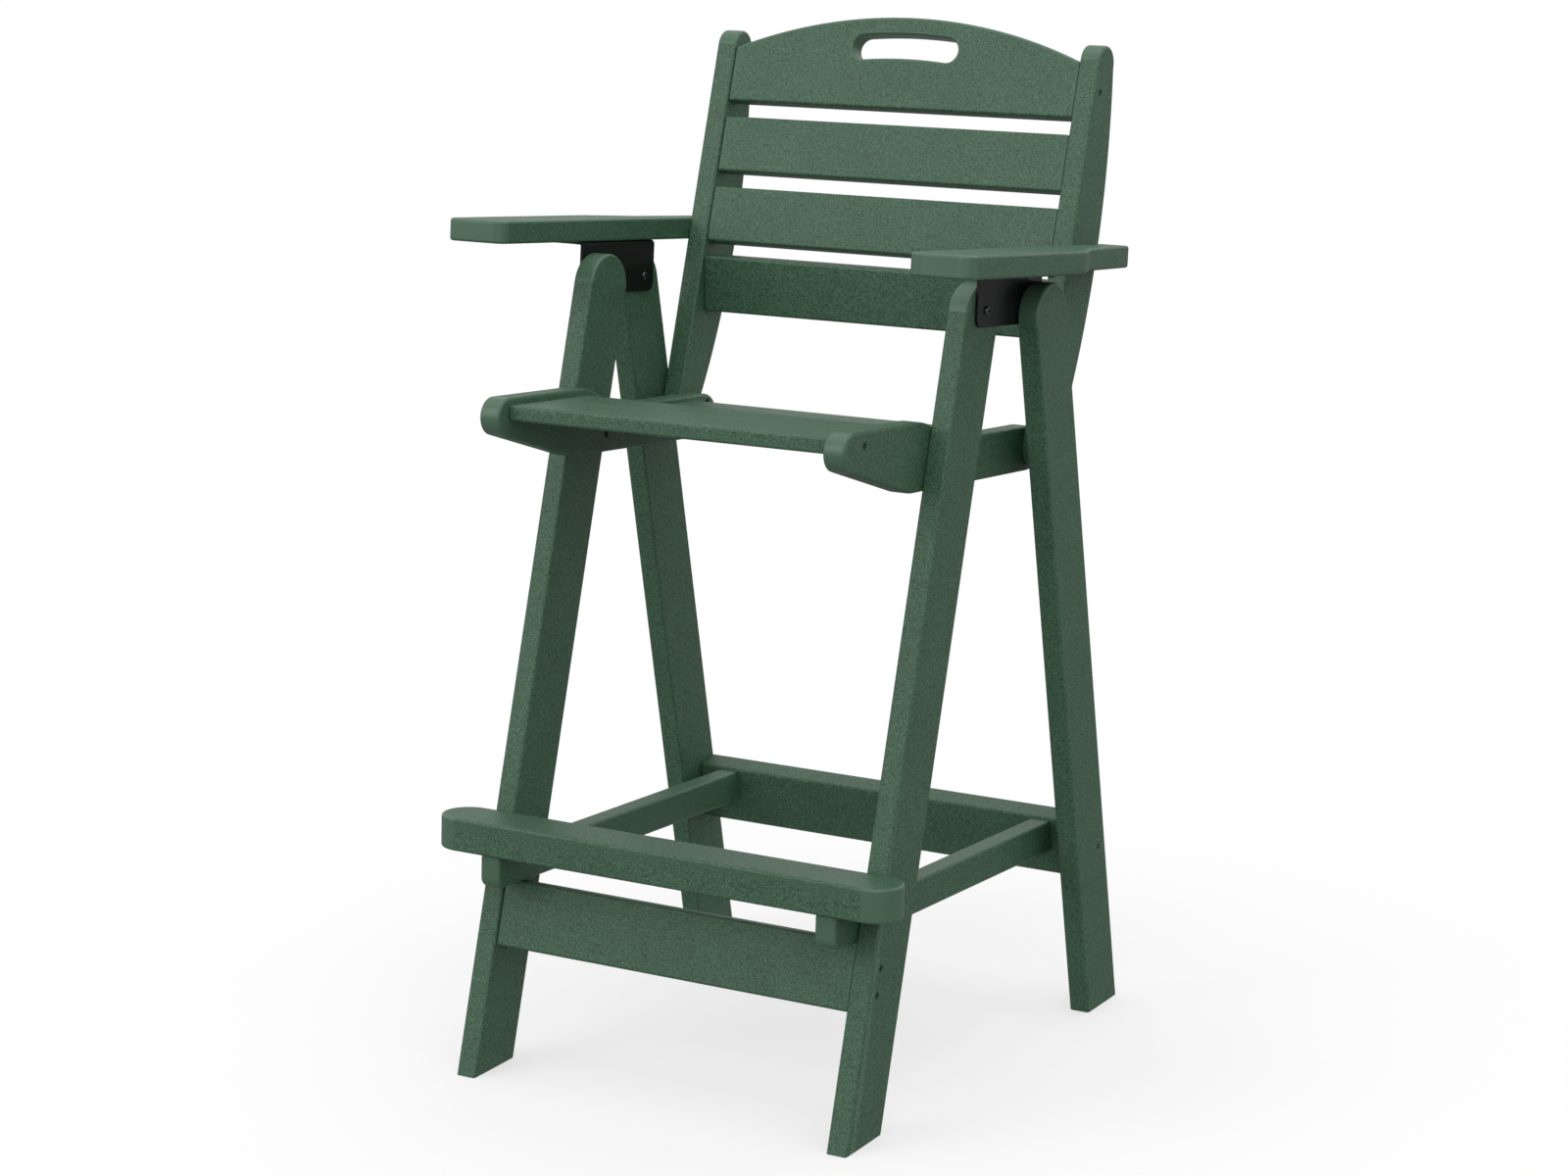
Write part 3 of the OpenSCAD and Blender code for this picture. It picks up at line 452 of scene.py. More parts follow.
def wall(runs, thick):
    """Side of a board as a grid: the outline carried up a profile of two quarter rounds, so a point
    is outline(i) + (1 - sin t) * shift(i) wide and r * (1 - cos t) deep from the nearer face."""
    points, radii, cut = joined(runs)
    shift = edge_shift(points, radii)
    deep = np.maximum(radii, np.roll(radii, 1))
    t = np.linspace(0, math.pi / 2, EDGE_STEPS + 1)
    inset = np.concatenate([1 - np.sin(t), 1 - np.sin(t[::-1])])
    rise = 1 - np.cos(t)
    height = np.vstack([np.outer(rise, deep), thick - np.outer(rise[::-1], deep)])
    flat = points[None] + inset[:, None, None] * shift[None]
    return np.concatenate([flat, height[..., None]], 2), np.tile(cut, (len(inset) - 1, 1))


def grid_faces(rows, columns, start=0, closed=True):
    """Quads of a grid, its points numbered row by row from start and its rows closed in a ring."""
    first = np.arange(columns if closed else columns - 1)
    beside = (first + 1) % columns
    base = start + columns * np.arange(rows - 1)[:, None]
    quads = [base + first, base + beside, base + columns + beside, base + columns + first]
    return np.stack(quads, -1).reshape(-1, 4)


def inside(points, loop):
    """True for each point that the closed loop winds round: the angles that the loop's edges fill,
    seen from the point, add up to a full turn."""
    a = loop[None] - points[:, None]
    b = np.roll(a, -1, axis=1)
    turn = np.arctan2(a[..., 0] * b[..., 1] - a[..., 1] * b[..., 0], (a * b).sum(-1)).sum(1)
    return np.abs(turn) > math.pi


def cap(points, loops):
    """Faces of a flat region between an outer loop and holes, as lists of point numbers: one face
    where there is no hole, and otherwise the triangles of its constrained triangulation."""
    if len(loops) == 1:
        return [loops[0].tolist()]
    numbers = np.concatenate(loops)
    flat = points[numbers]
    edges, start = [], 0
    for loop in loops:
        ring = start + np.arange(len(loop))
        edges += np.stack([ring, np.roll(ring, -1)], 1).tolist()
        start += len(loop)
    triangles = np.array(delaunay_2d_cdt(flat.tolist(), edges, [], 1, 1e-9, False)[2])
    centres = flat[triangles].mean(1)
    keep = inside(centres, points[loops[0]])
    for hole in loops[1:]:
        keep &= ~inside(centres, points[hole])
    return numbers[triangles[keep]].tolist()


def sunk(places, top, radius=SCREW_SEAT):
    """Recesses (centre, radius, on the upper face) for screws at (u, v) places of a board."""
    return [(tuple(place), radius, top) for place in places]


def board(runs, thick, slots=(), recesses=()):
    """A board as (points, faces, machined marks): its outline's wall, the walls of its slots, the
    recesses sunk in either flat face, and the two flat faces."""
    grids, faces, marks, low, high, start = [], [], [], [], [], 0
    for loop in [runs, *slots]:
        grid, cut = wall(loop, thick)
        rows, columns = grid.shape[:2]
        grids.append(grid.reshape(-1, 3))
        faces += grid_faces(rows, columns, start).tolist()
        marks.append(cut.ravel())
        low.append(start + np.arange(columns))
        high.append(start + (rows - 1) * columns + np.arange(columns))
        start += rows * columns
    for centre, radius, top in recesses:
        ring = np.array([[radius + MOUTH, 0], [radius, MOUTH], [radius, SINK]])
        circle = arc((0, 0), 1.0, 0, 2 * math.pi, SCREW_STEPS)
        flat = np.array(centre) + ring[:, None, :1] * circle[None]
        height = np.broadcast_to((thick - ring[:, 1:] if top else ring[:, 1:]), flat.shape[:2])
        grids.append(np.concatenate([flat, height[..., None]], 2).reshape(-1, 3))
        quads = grid_faces(3, SCREW_STEPS, start)
        floor = start + 2 * SCREW_STEPS + np.arange(SCREW_STEPS)
        faces += (quads[:, ::-1] if top else quads).tolist()
        faces += [(floor if top else floor[::-1]).tolist()]
        marks.append(np.ones(len(quads) + 1, bool))
        (high if top else low).append(start + np.arange(SCREW_STEPS))
        start += 3 * SCREW_STEPS
    points = np.vstack(grids)
    flats = cap(points[:, :2], high) + [f[::-1] for f in cap(points[:, :2], low)]
    marks.append(np.zeros(len(flats), bool))
    return points, faces + flats, np.concatenate(marks)


def axis_rows(axes):
    """Rows of a frame for axes given by their letters: u, v and o for out."""
    return ["uvo".index(a) + 1 for a in axes]


def set_down(points, place, axes):
    """Local points put into the chair's frame. axes says which of u, v and out the three local
    directions run along."""
    return place[0] + points @ place[axis_rows(axes)]


def add_piece(name, points, faces, node, slot):
    """Adds a smooth mesh as a piece that stands for a CAD node, in its slot's finish."""
    mesh = bpy.data.meshes.new(name)
    mesh.from_pydata(points, [], faces)
    mesh.shade_smooth()
    if mesh.validate():
        raise RuntimeError(f"{name} has faces that Blender can't use")
    mesh.materials.append(made_of(slot))
    piece = bpy.data.objects.new(name, mesh)
    bpy.context.scene.collection.objects.link(piece)
    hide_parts(node)
    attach(piece, "root")
    return piece


def add_solid(name, points, faces, node, slot, sharp):
    """Adds a closed piece, its edges past the sharp angle kept."""
    piece = add_piece(name, points, faces, node, slot)
    piece.data.set_sharp_from_angle(angle=sharp)
    # Flat faces keep their own normal up to the rounded edge
    weigh = piece.modifiers.new("Flat faces", "WEIGHTED_NORMAL")
    weigh.mode = "FACE_AREA"
    weigh.keep_sharp = True
    return piece


def add_board(node, shape, place, axes, way=1):
    """Adds one board with its machined marks, mirrored to the chair's left where way is -1."""
    points, faces, marks = shape
    points = set_down(points, place, axes) * [way, 1, 1]
    # Its faces point outwards in its own axes, and a mirrored set of axes turns them round
    if np.linalg.det(place[axis_rows(axes)]) * way < 0:
        faces = [face[::-1] for face in faces]
    piece = add_solid(f"{node}_board", points, faces, node, "green_lumber", BOARD_SHARP)
    marked = piece.data.attributes.new("machined", "FLOAT", "FACE")
    marked.data.foreach_set("value", marks.astype(np.float32))


def add_pair(node, shape, place, axes):
    """Adds the right board, and its mirror image on the left."""
    for side, way in SIDES:
        add_board(f"{node}_{side}", shape, place, axes, way)


# Finishes

# The part of its range that a noise fills, and the setting of a node that scales a colour
NOISE_SPAN = {"From_Min": 0.3, "From_Max": 0.7}
SCALE = {"operation": "SCALE"}


def node_in(tree, kind, settings=None, **links):
    """Adds a node of a kind, or takes one that is there, and gives it its settings and inputs. An
    input goes by its name, or by i and its number, and a node as its value stands for that node's
    first output."""
    made = tree.nodes.new(kind) if isinstance(kind, str) else kind
    for key, value in (settings or {}).items():
        setattr(made, key, value)
    for key, value in links.items():
        socket = made.inputs[int(key[1:]) if key[1:].isdigit() else key.replace("_", " ")]
        value = value.outputs[0] if isinstance(value, bpy.types.Node) else value
        if isinstance(value, bpy.types.NodeSocket):
            tree.links.new(value, socket)
        else:
            socket.default_value = value
    return made


def flecked(tree, where, size, detail, tone):
    """Noise with flecks of a given size, and a colour that it turns up to 15% darker or paler."""
    noise = node_in(tree, "ShaderNodeTexNoise", Vector=where, Scale=1 / size, Detail=detail)
    tint = node_in(tree, "ShaderNodeMapRange", Value=noise, To_Min=0.85, To_Max=1.15)
    return noise, node_in(tree, "ShaderNodeVectorMath", SCALE, i0=tuple(tone)[:3], Scale=tint)


def lumber(tree, shader, where):
    """Recycled polyethylene lumber. Its moulded faces are matt with a pebbled surface of about 2
    mm, their colour darker in the pits and paler on the pebbles' tops, which is painted shade and
    painted highlight of that relief, and its machined ends are smooth, paler and a little glossier."""
    lum = bpy.context.scene.chair_lumber
    cut = node_in(tree, "ShaderNodeAttribute", {"attribute_name": "machined"}).outputs["Fac"]
    # Pebbles 1.9 mm apart, which is as fine as the picture shows
    pebble = node_in(
        tree, "ShaderNodeTexNoise", Vector=where, Scale=1 / (1.9 * MM), Detail=1.0, Roughness=0.5
    )
    # Cloudy shade of the mixed plastic, some 60 mm across
    cloud = node_in(tree, "ShaderNodeTexNoise", Vector=where, Scale=1 / (60 * MM), Detail=3.0)
    # The pebbles scale the moulded colour by up to half either way: painted shade in their pits and
    # painted highlight on their tops, over the cloud's own tone of the plastic
    pebble_shading, shade = (
        node_in(tree, "ShaderNodeMapRange", Value=noise, To_Min=low, To_Max=high, **NOISE_SPAN)
        for noise, low, high in ((pebble, 0.50, 1.50), (cloud, 0.95, 1.05))
    )
    both = node_in(tree, "ShaderNodeMath", {"operation": "MULTIPLY"}, i0=pebble_shading, i1=shade)
    moulded, plain = (
        node_in(tree, "ShaderNodeVectorMath", SCALE, i0=tuple(tone)[:3], Scale=factor)
        for tone, factor in ((lum.green, both), (lum.cut_green, shade))
    )
    mixed = node_in(tree, "ShaderNodeMix", {"data_type": "RGBA"}, i0=cut, i6=moulded, i7=plain)
    # Roughness and depth of the pebbled relief, from the moulded faces to the machined ends
    rough, depth = (
        node_in(tree, "ShaderNodeMapRange", Value=cut, To_Min=face, To_Max=end)
        for face, end in ((0.50, 0.34), (0.75, 0.08))
    )
    bump = node_in(tree, "ShaderNodeBump", Height=pebble, Strength=depth, Distance=0.5 * MM)
    node_in(tree, shader, Base_Color=mixed.outputs[2], Roughness=rough, Normal=bump, IOR=1.5)


def powder_coat(tree, shader, where):
    """Black polyester powder coat on bent steel: satin, with a faint orange peel of 1.2 mm."""
    peel, base = flecked(tree, where, 1.2 * MM, 1.0, bpy.context.scene.chair_arm.steel)
    bump = node_in(tree, "ShaderNodeBump", Height=peel, Strength=0.25, Distance=0.1 * MM)
    node_in(tree, shader, Base_Color=base, Normal=bump, Roughness=0.32, IOR=1.4)


def plated_steel(tree, shader, where):
    """Dark plated screw steel, turned and pressed: metallic, its shine broken by an uneven plating,
    which is drawn 0.8 mm wide so that it shows."""
    fleck, base = flecked(tree, where, 0.8 * MM, 2.0, bpy.context.scene.chair_arm.screw)
    rough = node_in(tree, "ShaderNodeMapRange", Value=fleck, To_Min=0.12, To_Max=0.26)
    node_in(tree, shader, Base_Color=base, Roughness=rough, Metallic=1.0)


# The record's material slots, each with its material's name and what fills it
FINISHES = {
    "green_lumber": ("polyethylene_lumber", lumber),
    "black_steel": ("powder_coated_steel", powder_coat),
    "screw_steel": ("plated_screw_steel", plated_steel),
    "black_screw": ("plated_screw_steel", plated_steel),
}


def made_of(slot):
    """The material of a slot, made the first time that it is asked for."""
    name, fill = FINISHES[slot]
    finish = bpy.data.materials.get(name)
    if finish is None:
        finish = bpy.data.materials.new(name)
        finish.use_nodes = True
        tree = finish.node_tree
        where = node_in(tree, "ShaderNodeTexCoord").outputs["Object"]
        fill(tree, tree.nodes["Principled BSDF"], where)
    return finish


# Boards


class CHAIR_OT_legs(bpy.types.Operator):
    """Makes the four legs"""

    bl_idname = "chair.legs"
    bl_label = "Legs"

    def execute(self, context):
        k = chair_layout()
        w, edge = k.lum.leg_w, k.lum.edge_r
        for node, place, x, top, lean, screws in (
            ("front_leg", k.front, k.x_leg, k.front_len, k.lum.front_lean, k.apron_screws),
            ("rear_leg", k.rear, k.x_rear, k.rear_len, k.lum.rear_lean, [k.rear_screw]),
        ):
            # A foot cut level, two straight edges and a half-round top
            heel = (w, w * math.tan(lean))
            runs = [
                (line((0, 0), heel, 4), SAW_EDGE, True),
                (line(heel, (w, top), 2), edge, False),
                (arc((k.half_leg, top), k.half_leg, 0, math.pi), edge, True),
                (line((0, top), (0, 0), 2), edge, False),
            ]
            shape = board(runs, k.lum.board_t, recesses=sunk(screws, True))
            add_pair(node, shape, moved(place, out=x), "uvo")
        return {"FINISHED"}


class CHAIR_OT_posts(bpy.types.Operator):
    """Makes the two back posts"""

    bl_idname = "chair.posts"
    bl_label = "Back posts"

    def execute(self, context):
        k = chair_layout()
        back, edge, r = k.back, k.lum.edge_r, k.half_end
        half = back.post_len / 2
        bow = back.mid_w - back.end_w
        radius = (half**2 + bow**2) / (2 * bow)
        reach = math.asin(half / radius)
        runs = [
            (arc((r, 0), r, math.pi, 2 * math.pi), edge, True),
            (arc((back.mid_w - radius, half), radius, -reach, reach), edge, False),
            (arc((r, back.post_len), r, 0, math.pi), edge, True),
            (line((0, back.post_len), (0, 0), 2), edge, False),
        ]
        in_arm = [in_frame(k.post, rear_up(k.arm_frame, *spot)) for spot in k.arm_post_screws]
        holes = sunk([k.top_screw], True) + sunk(in_arm, False)
        shape = board(runs, k.lum.board_t, recesses=holes)
        add_pair("back_post", shape, moved(k.post, out=k.x_leg), "uvo")
        return {"FINISHED"}


def rail_height(seat, along):
    """Height of a side rail's top edge: the crest, two equal arcs that fall, and the rear part."""
    radius = ((seat.dip_len / 2) ** 2 + (seat.dip_h / 2) ** 2) / seat.dip_h
    down = np.clip(along - seat.dip_start, 0, seat.dip_len / 2)
    left = np.clip(seat.dip_start + seat.dip_len - along, 0, seat.dip_len / 2)
    first = seat.crest_h - radius + np.sqrt(radius**2 - down**2)
    second = seat.crest_h - seat.dip_h + radius - np.sqrt(radius**2 - left**2)
    return np.where(along < seat.dip_start + seat.dip_len / 2, first, second)


class CHAIR_OT_side_rails(bpy.types.Operator):
    """Makes the two side rails of the seat"""

    bl_idname = "chair.side_rails"
    bl_label = "Side rails"

    def execute(self, context):
        k = chair_layout()
        seat, edge, quarter = k.seat, k.lum.edge_r, math.pi / 2
        r, slope, half = seat.nose_r, seat.nose_slope, seat.rail_h / 2
        nose_mid = seat.crest_h - r
        foot = (r - r * math.sin(slope), nose_mid - r * math.cos(slope))
        knee = (foot[0] + (foot[1] - k.rail_low) / math.tan(slope), k.rail_low)
        bend = corner(foot, knee, (seat.rail_len, k.rail_low), seat.knee_r, KNEE_STEPS)
        along = seat.dip_start + seat.dip_len * np.linspace(1, 0, DIP_STEPS + 1)
        dip = np.stack([along, rail_height(seat, along)], 1)
        runs = [
            (arc((r, nose_mid), r, quarter, 3 * quarter - slope), edge, True),
            (np.vstack([[foot], bend]), edge, False),
            (arc((seat.rail_len, k.rear_top - half), half, -quarter, quarter), edge, True),
            (line((seat.rail_len, k.rear_top), dip[0]), edge, False),
            (dip, edge, False),
        ]
        inner = [rear_up(k.front, *spot) for spot in k.rail_screws]
        inner.append(rear_up(k.post, *k.post_screw))
        holes = sunk([k.slat_screw], True)
        holes += sunk([in_frame(k.seat_frame, point) for point in inner], False)
        holes += sunk([in_frame(k.seat_frame, k.bolt)], False, BOLT_SEAT)
        shape = board(runs, k.lum.board_t, recesses=holes)
        add_pair("side_rail", shape, moved(k.seat_frame, out=k.x_rail), "uvo")
        return {"FINISHED"}


class CHAIR_OT_base(bpy.types.Operator):
    """Makes the stretchers, the footrest, the apron and the rear rail"""

    bl_idname = "chair.base"
    bl_label = "Stretchers and rails"

    def execute(self, context):
        k = chair_layout()
        base, edge, quarter = k.base, k.lum.edge_r, math.pi / 2
        low = (0, -base.height)
        tip = corner(k.high_end, (0, 0), low, TIP_EASE, TIP_STEPS)
        runs = [
            (tip, edge, True),
            (corner((0, 0), low, k.low_end, base.nose_r), edge, True),
            (line(k.low_end, k.high_end, 2), SAW_EDGE, True),
            (line(k.high_end, tip[0], 2), edge, False),
        ]
        shape = board(runs, k.lum.board_t, recesses=sunk(k.leg_screws, False))
        add_pair("stretcher", shape, moved(k.stretcher, out=k.x_rail), "uvo")

        half = base.rest_depth / 2
        end = k.x_leg + base.rest_past - half
        runs = []
        for way in (1, -1):
            runs += [
                (arc((way * end, 0), half, -way * quarter, (2 - way) * quarter), edge, True),
                (line((way * end, way * half), (-way * end, way * half), 3), edge, False),
            ]
        place = moved(k.stretcher, u=k.rest_rear - half)
        add_board("footrest", board(runs, base.rest_t), place, "ouv")

        place = moved(k.front, u=base.rail_inset, v=k.apron_top - base.apron_h)
        apron = board(across(k.x_leg, base.apron_h, edge), base.rail_t)
        add_board("front_apron", apron, place, "ovu")
        low = base.rear_top - base.rear_h
        holes = sunk([(way * k.x_mid, k.end_up - low) for way in PAIR], False)
        rail = board(across(k.x_rear, base.rear_h, edge), base.rail_t, recesses=holes)
        add_board("rear_rail", rail, moved(k.rear, u=base.rail_inset, v=low), "ovu")
        return {"FINISHED"}


class CHAIR_OT_back_slats(bpy.types.Operator):
    """Makes the arched top slat with its hand slot and the three plain back slats"""

    bl_idname = "chair.back_slats"
    bl_label = "Back slats"

    def execute(self, context):
        k = chair_layout()
        back, edge, half = k.back, k.lum.edge_r, k.x_leg
        radius = (half**2 + back.arch**2) / (2 * back.arch)
        centre = back.top_end_h + back.arch - radius
        reach = math.asin(half / radius)
        ends = [(-half, back.top_end_h), (-half, 0), (half, 0), (half, back.top_end_h)]
        left, right = (corner(*ends[i : i + 3], END_EASE) for i in (0, 1))
        first, last = math.pi / 2 - reach, math.pi / 2 + reach
        # Only the underside, between the two eased corners, isn't machined
        runs = [
            (left[:-1], edge, True),
            (left[-1:], edge, False),
            (right, edge, True),
            (arc((0, centre), radius, first, last, ARCH_STEPS), edge, True),
            (np.array([ends[0]]), edge, True),
        ]
        slot_r = radius - back.slot_drop
        h = back.slot_h / 2
        turn = math.asin((back.slot_len / 2 - h) / slot_r)
        first, last = math.pi / 2 - turn, math.pi / 2 + turn
        tip = [(slot_r * math.cos(t), centre + slot_r * math.sin(t)) for t in (first, last)]
        # The slot's runs go clockwise, which keeps the wood on their left
        slot = [
            (arc((0, centre), slot_r + h, last, first, SLOT_STEPS), edge, True),
            (arc(tip[0], h, first, first - math.pi, SLOT_END_STEPS), edge, True),
            (arc((0, centre), slot_r - h, first, last, SLOT_STEPS), edge, True),
            (arc(tip[1], h, last + math.pi, last, SLOT_END_STEPS), edge, True),
        ]
        shape = board(runs, back.slat_t, slots=[slot])
        add_board("back_slat_top", shape, moved(k.post, u=back.inset, v=back.top_s), "ovu")
        plain = board(across(half, back.slat_h, edge), back.slat_t)
        up = back.top_s
        for name in ("upper", "middle"):
            up -= back.gap + back.slat_h
            add_board(f"back_slat_{name}", plain, moved(k.post, u=back.inset, v=up), "ovu")
        hung = turned(*rear_up(k.post, back.inset, up - back.gap), 0)
        add_board("back_slat_lower", plain, moved(hung, v=-back.slat_h), "ovu")
        return {"FINISHED"}


class CHAIR_OT_seat_slats(bpy.types.Operator):
    """Makes the five seat slats"""

    bl_idname = "chair.seat_slats"
    bl_label = "Seat slats"

    def execute(self, context):
        k = chair_layout()
        seat, pitch = k.seat, k.seat.slat_w + k.seat.gap
        crest, rear = seat.crest_h - seat.slat_drop, k.rear_top - seat.rear_drop
        second = seat.front_back + pitch
        third = second + pitch + seat.bend_gap
        third_top = float(rail_height(seat, third)) - seat.slat_drop
        lean = math.asin((third_top - rear) / seat.slat_w) - seat.bend_lift
        fourth = third + seat.slat_w * math.cos(lean) + seat.gap
        slats = [
            (seat.front_back, crest, 0),
            (second, crest, 0),
            (third, third_top, lean),
            (fourth, rear, 0),
            (fourth + pitch, rear, 0),
        ]
        shape = board(across(k.x_rail, seat.slat_w, k.lum.edge_r), seat.slat_t)
        for number, (at, top, fall) in enumerate(slats, 1):
            place = turned(*rear_up(k.seat_frame, at, top), seat.tilt + fall)
            add_board(f"seat_slat_{number}", shape, moved(place, v=-seat.slat_t), "ouv")
        return {"FINISHED"}


class CHAIR_OT_arms(bpy.types.Operator):
    """Makes the two arms"""

    bl_idname = "chair.arms"
    bl_label = "Arms"

    def execute(self, context):
        k = chair_layout()
        arm, edge, w, h = k.arm, k.lum.edge_r, k.arm.arm_w, k.arm.arm_w / 2
        points = [
            (-arm.arm_len, 0), (0, 0), (0, arm.end_w), (-arm.tail_len, arm.tail_w),
            (-arm.taper_len, w), (-arm.arm_len, w),
        ]
        radii = [arm.corner_r, TIP_EASE, TIP_EASE, arm.ease_r, arm.ease_r, arm.corner_r]
        runs = rounded(points, radii, edge, (0, 1, 1.5, 2, 5))
        # The front edge is the bow's circle between the rounded corners
        turn = math.asin((h - arm.corner_r) / arm.bow_r)
        first, last = math.pi - turn, math.pi + turn
        bow = arc((arm.bow_r - arm.arm_len, h), arm.bow_r, first, last, BOW_STEPS)
        runs[-1] = bow, edge, True
        add_pair("arm", board(runs, arm.arm_t), moved(k.arm_frame, out=k.x_plate), "uov")
        return {"FINISHED"}


class CHAIR_OT_brackets(bpy.types.Operator):
    """Makes the two bent steel brackets"""

    bl_idname = "chair.brackets"
    bl_label = "Arm brackets"

    def execute(self, context):
        k = chair_layout()
        arm, half = k.arm, k.arm.plate_t / 2
        start, end = k.front_a - arm.margin, k.rear_a + arm.margin
        # Mid line of the angle's section as (out, up): up the plate, round the bend, out the flange
        r = PLATE_BEND + half
        lower = np.linspace(0, arm.plate_r, PLATE_STEPS + 1)
        plate = np.append(lower - arm.plate_h, -half - r)
        bend = np.linspace(math.pi, math.pi / 2, BEND_STEPS + 1)[1:]
        out = np.full(len(plate), half), half + r + r * np.cos(bend), [arm.flange_w]
        up = plate, -half - r + r * np.sin(bend), [-half]
        out, up = np.concatenate(out), np.concatenate(up)
        # The plate's lower corners are round: each row starts later by what the corner takes off
        take = np.zeros(len(up))
        take[: len(lower)] = arm.plate_r - np.sqrt(arm.plate_r**2 - (arm.plate_r - lower) ** 2)
        share = np.linspace(0, 1, BEND_STEPS + 1)
        along = (start + take)[:, None] * (1 - share) + (end - take)[:, None] * share
        sheet = np.stack(np.broadcast_arrays(along, out[:, None], up[:, None]), -1).reshape(-1, 3)
        sheet = set_down(sheet, moved(k.arm_frame, out=k.x_plate), "uov")
        faces = grid_faces(*along.shape, closed=False)
        for side, way in SIDES:
            node = f"arm_bracket_{side}"
            ordered = faces[:, ::way].tolist()
            piece = add_piece(f"{node}_bent", sheet * [way, 1, 1], ordered, node, "black_steel")
            thicken = piece.modifiers.new("Sheet thickness", "SOLIDIFY")
            thicken.thickness = arm.plate_t
            thicken.offset = 0.0
            soften = piece.modifiers.new("Coated edges", "BEVEL")
            soften.width = PLATE_EDGE
            soften.segments = 2
            soften.limit_method = "ANGLE"
            soften.angle_limit = PLATE_SHARP
            soften.harden_normals = True
        return {"FINISHED"}


# Screws


def screw_shape(shank_d, shank_len, head_d, head_h, domed):
    """A screw on the z axis, its head's seat at z = 0: a profile of (radius, height) pairs turned
    round the axis, its recess's radius waving with the points of the driver's star."""
    r = head_d / 2
    drive = DRIVE * r
    t = np.linspace(0, math.pi / 2, HEAD_STEPS + 1)
    if domed:
        rim = RIM * head_h
        top = np.stack([drive + (r - drive) * np.cos(t), rim + (head_h - rim) * np.sin(t)], 1)
    else:
        edge = HEAD_EDGE * head_d
        top = np.stack([r - edge + edge * np.cos(t), head_h - edge + edge * np.sin(t)], 1)
    profile = np.vstack([
        [[0, -shank_len], [shank_d * TIP_SHARE, TIP_UP - shank_len]],
        [[shank_d / 2, shank_d - shank_len], [shank_d / 2, 0], [r, 0]],
        top,
        [[drive, top[-1, 1]], [drive, RIM * head_h], [0, PIT * head_h]],
    ])
    star = np.zeros((len(profile), 1))
    star[-3:-1] = STAR
    turn = 2 * math.pi * np.arange(SCREW_STEPS) / SCREW_STEPS
    ring = profile[:, :1] * (1 + star * np.cos(POINTS * turn))
    height = np.broadcast_to(profile[:, 1:], ring.shape)
    points = np.stack([ring * np.cos(turn), ring * np.sin(turn), height], -1)[1:-1].reshape(-1, 3)
    # The two ends close on one point each
    count = len(points)
    points = np.vstack([points, [[0, 0, profile[0, 1]], [0, 0, profile[-1, 1]]]])
    ring = np.arange(SCREW_STEPS)
    beside, last = (ring + 1) % SCREW_STEPS, count - SCREW_STEPS
    tip = np.stack([beside, ring, np.full(SCREW_STEPS, count)], 1)
    pit = np.stack([last + ring, last + beside, np.full(SCREW_STEPS, count + 1)], 1)
    return points, grid_faces(len(profile) - 2, SCREW_STEPS), np.vstack([tip, pit])


def add_screws(node, sizes, groups, depth, slot):
    """Adds a node's screws: one screw copied to every seat on the right side and to its mirror
    image, sunk so deep. A group of seats is a frame, the axis that the heads point along or, with
    way -1, against, and the seats' (u, v, out)."""
    points, quads, tips = screw_shape(*(size * MM for size in sizes[:4]), sizes[4])
    heads, axes = [], []
    for place, axis, way, spots in groups:
        heads.append(set_down(np.array(spots, float), place, "uvo"))
        axes += [way * place[axis_rows(axis)]] * len(spots)
    heads, axes = (np.vstack([*rows, np.vstack(rows) * [-1, 1, 1]]) for rows in (heads, axes))
    heads -= axes * depth
    side = np.cross(axes, np.where(np.abs(axes[:, :1]) < 0.9, [[1.0, 0, 0]], [[0, 0, 1.0]]))
    side /= np.linalg.norm(side, axis=1)[:, None]
    basis = np.stack([side, np.cross(axes, side), axes], 1)
    placed = (heads[:, None] + points[None] @ basis).reshape(-1, 3)
    step = len(points) * np.arange(len(heads))[:, None, None]
    faces = (quads + step).reshape(-1, 4).tolist() + (tips + step).reshape(-1, 3).tolist()
    add_solid(f"{node}_turned", placed, faces, node, slot, SCREW_SHARP)


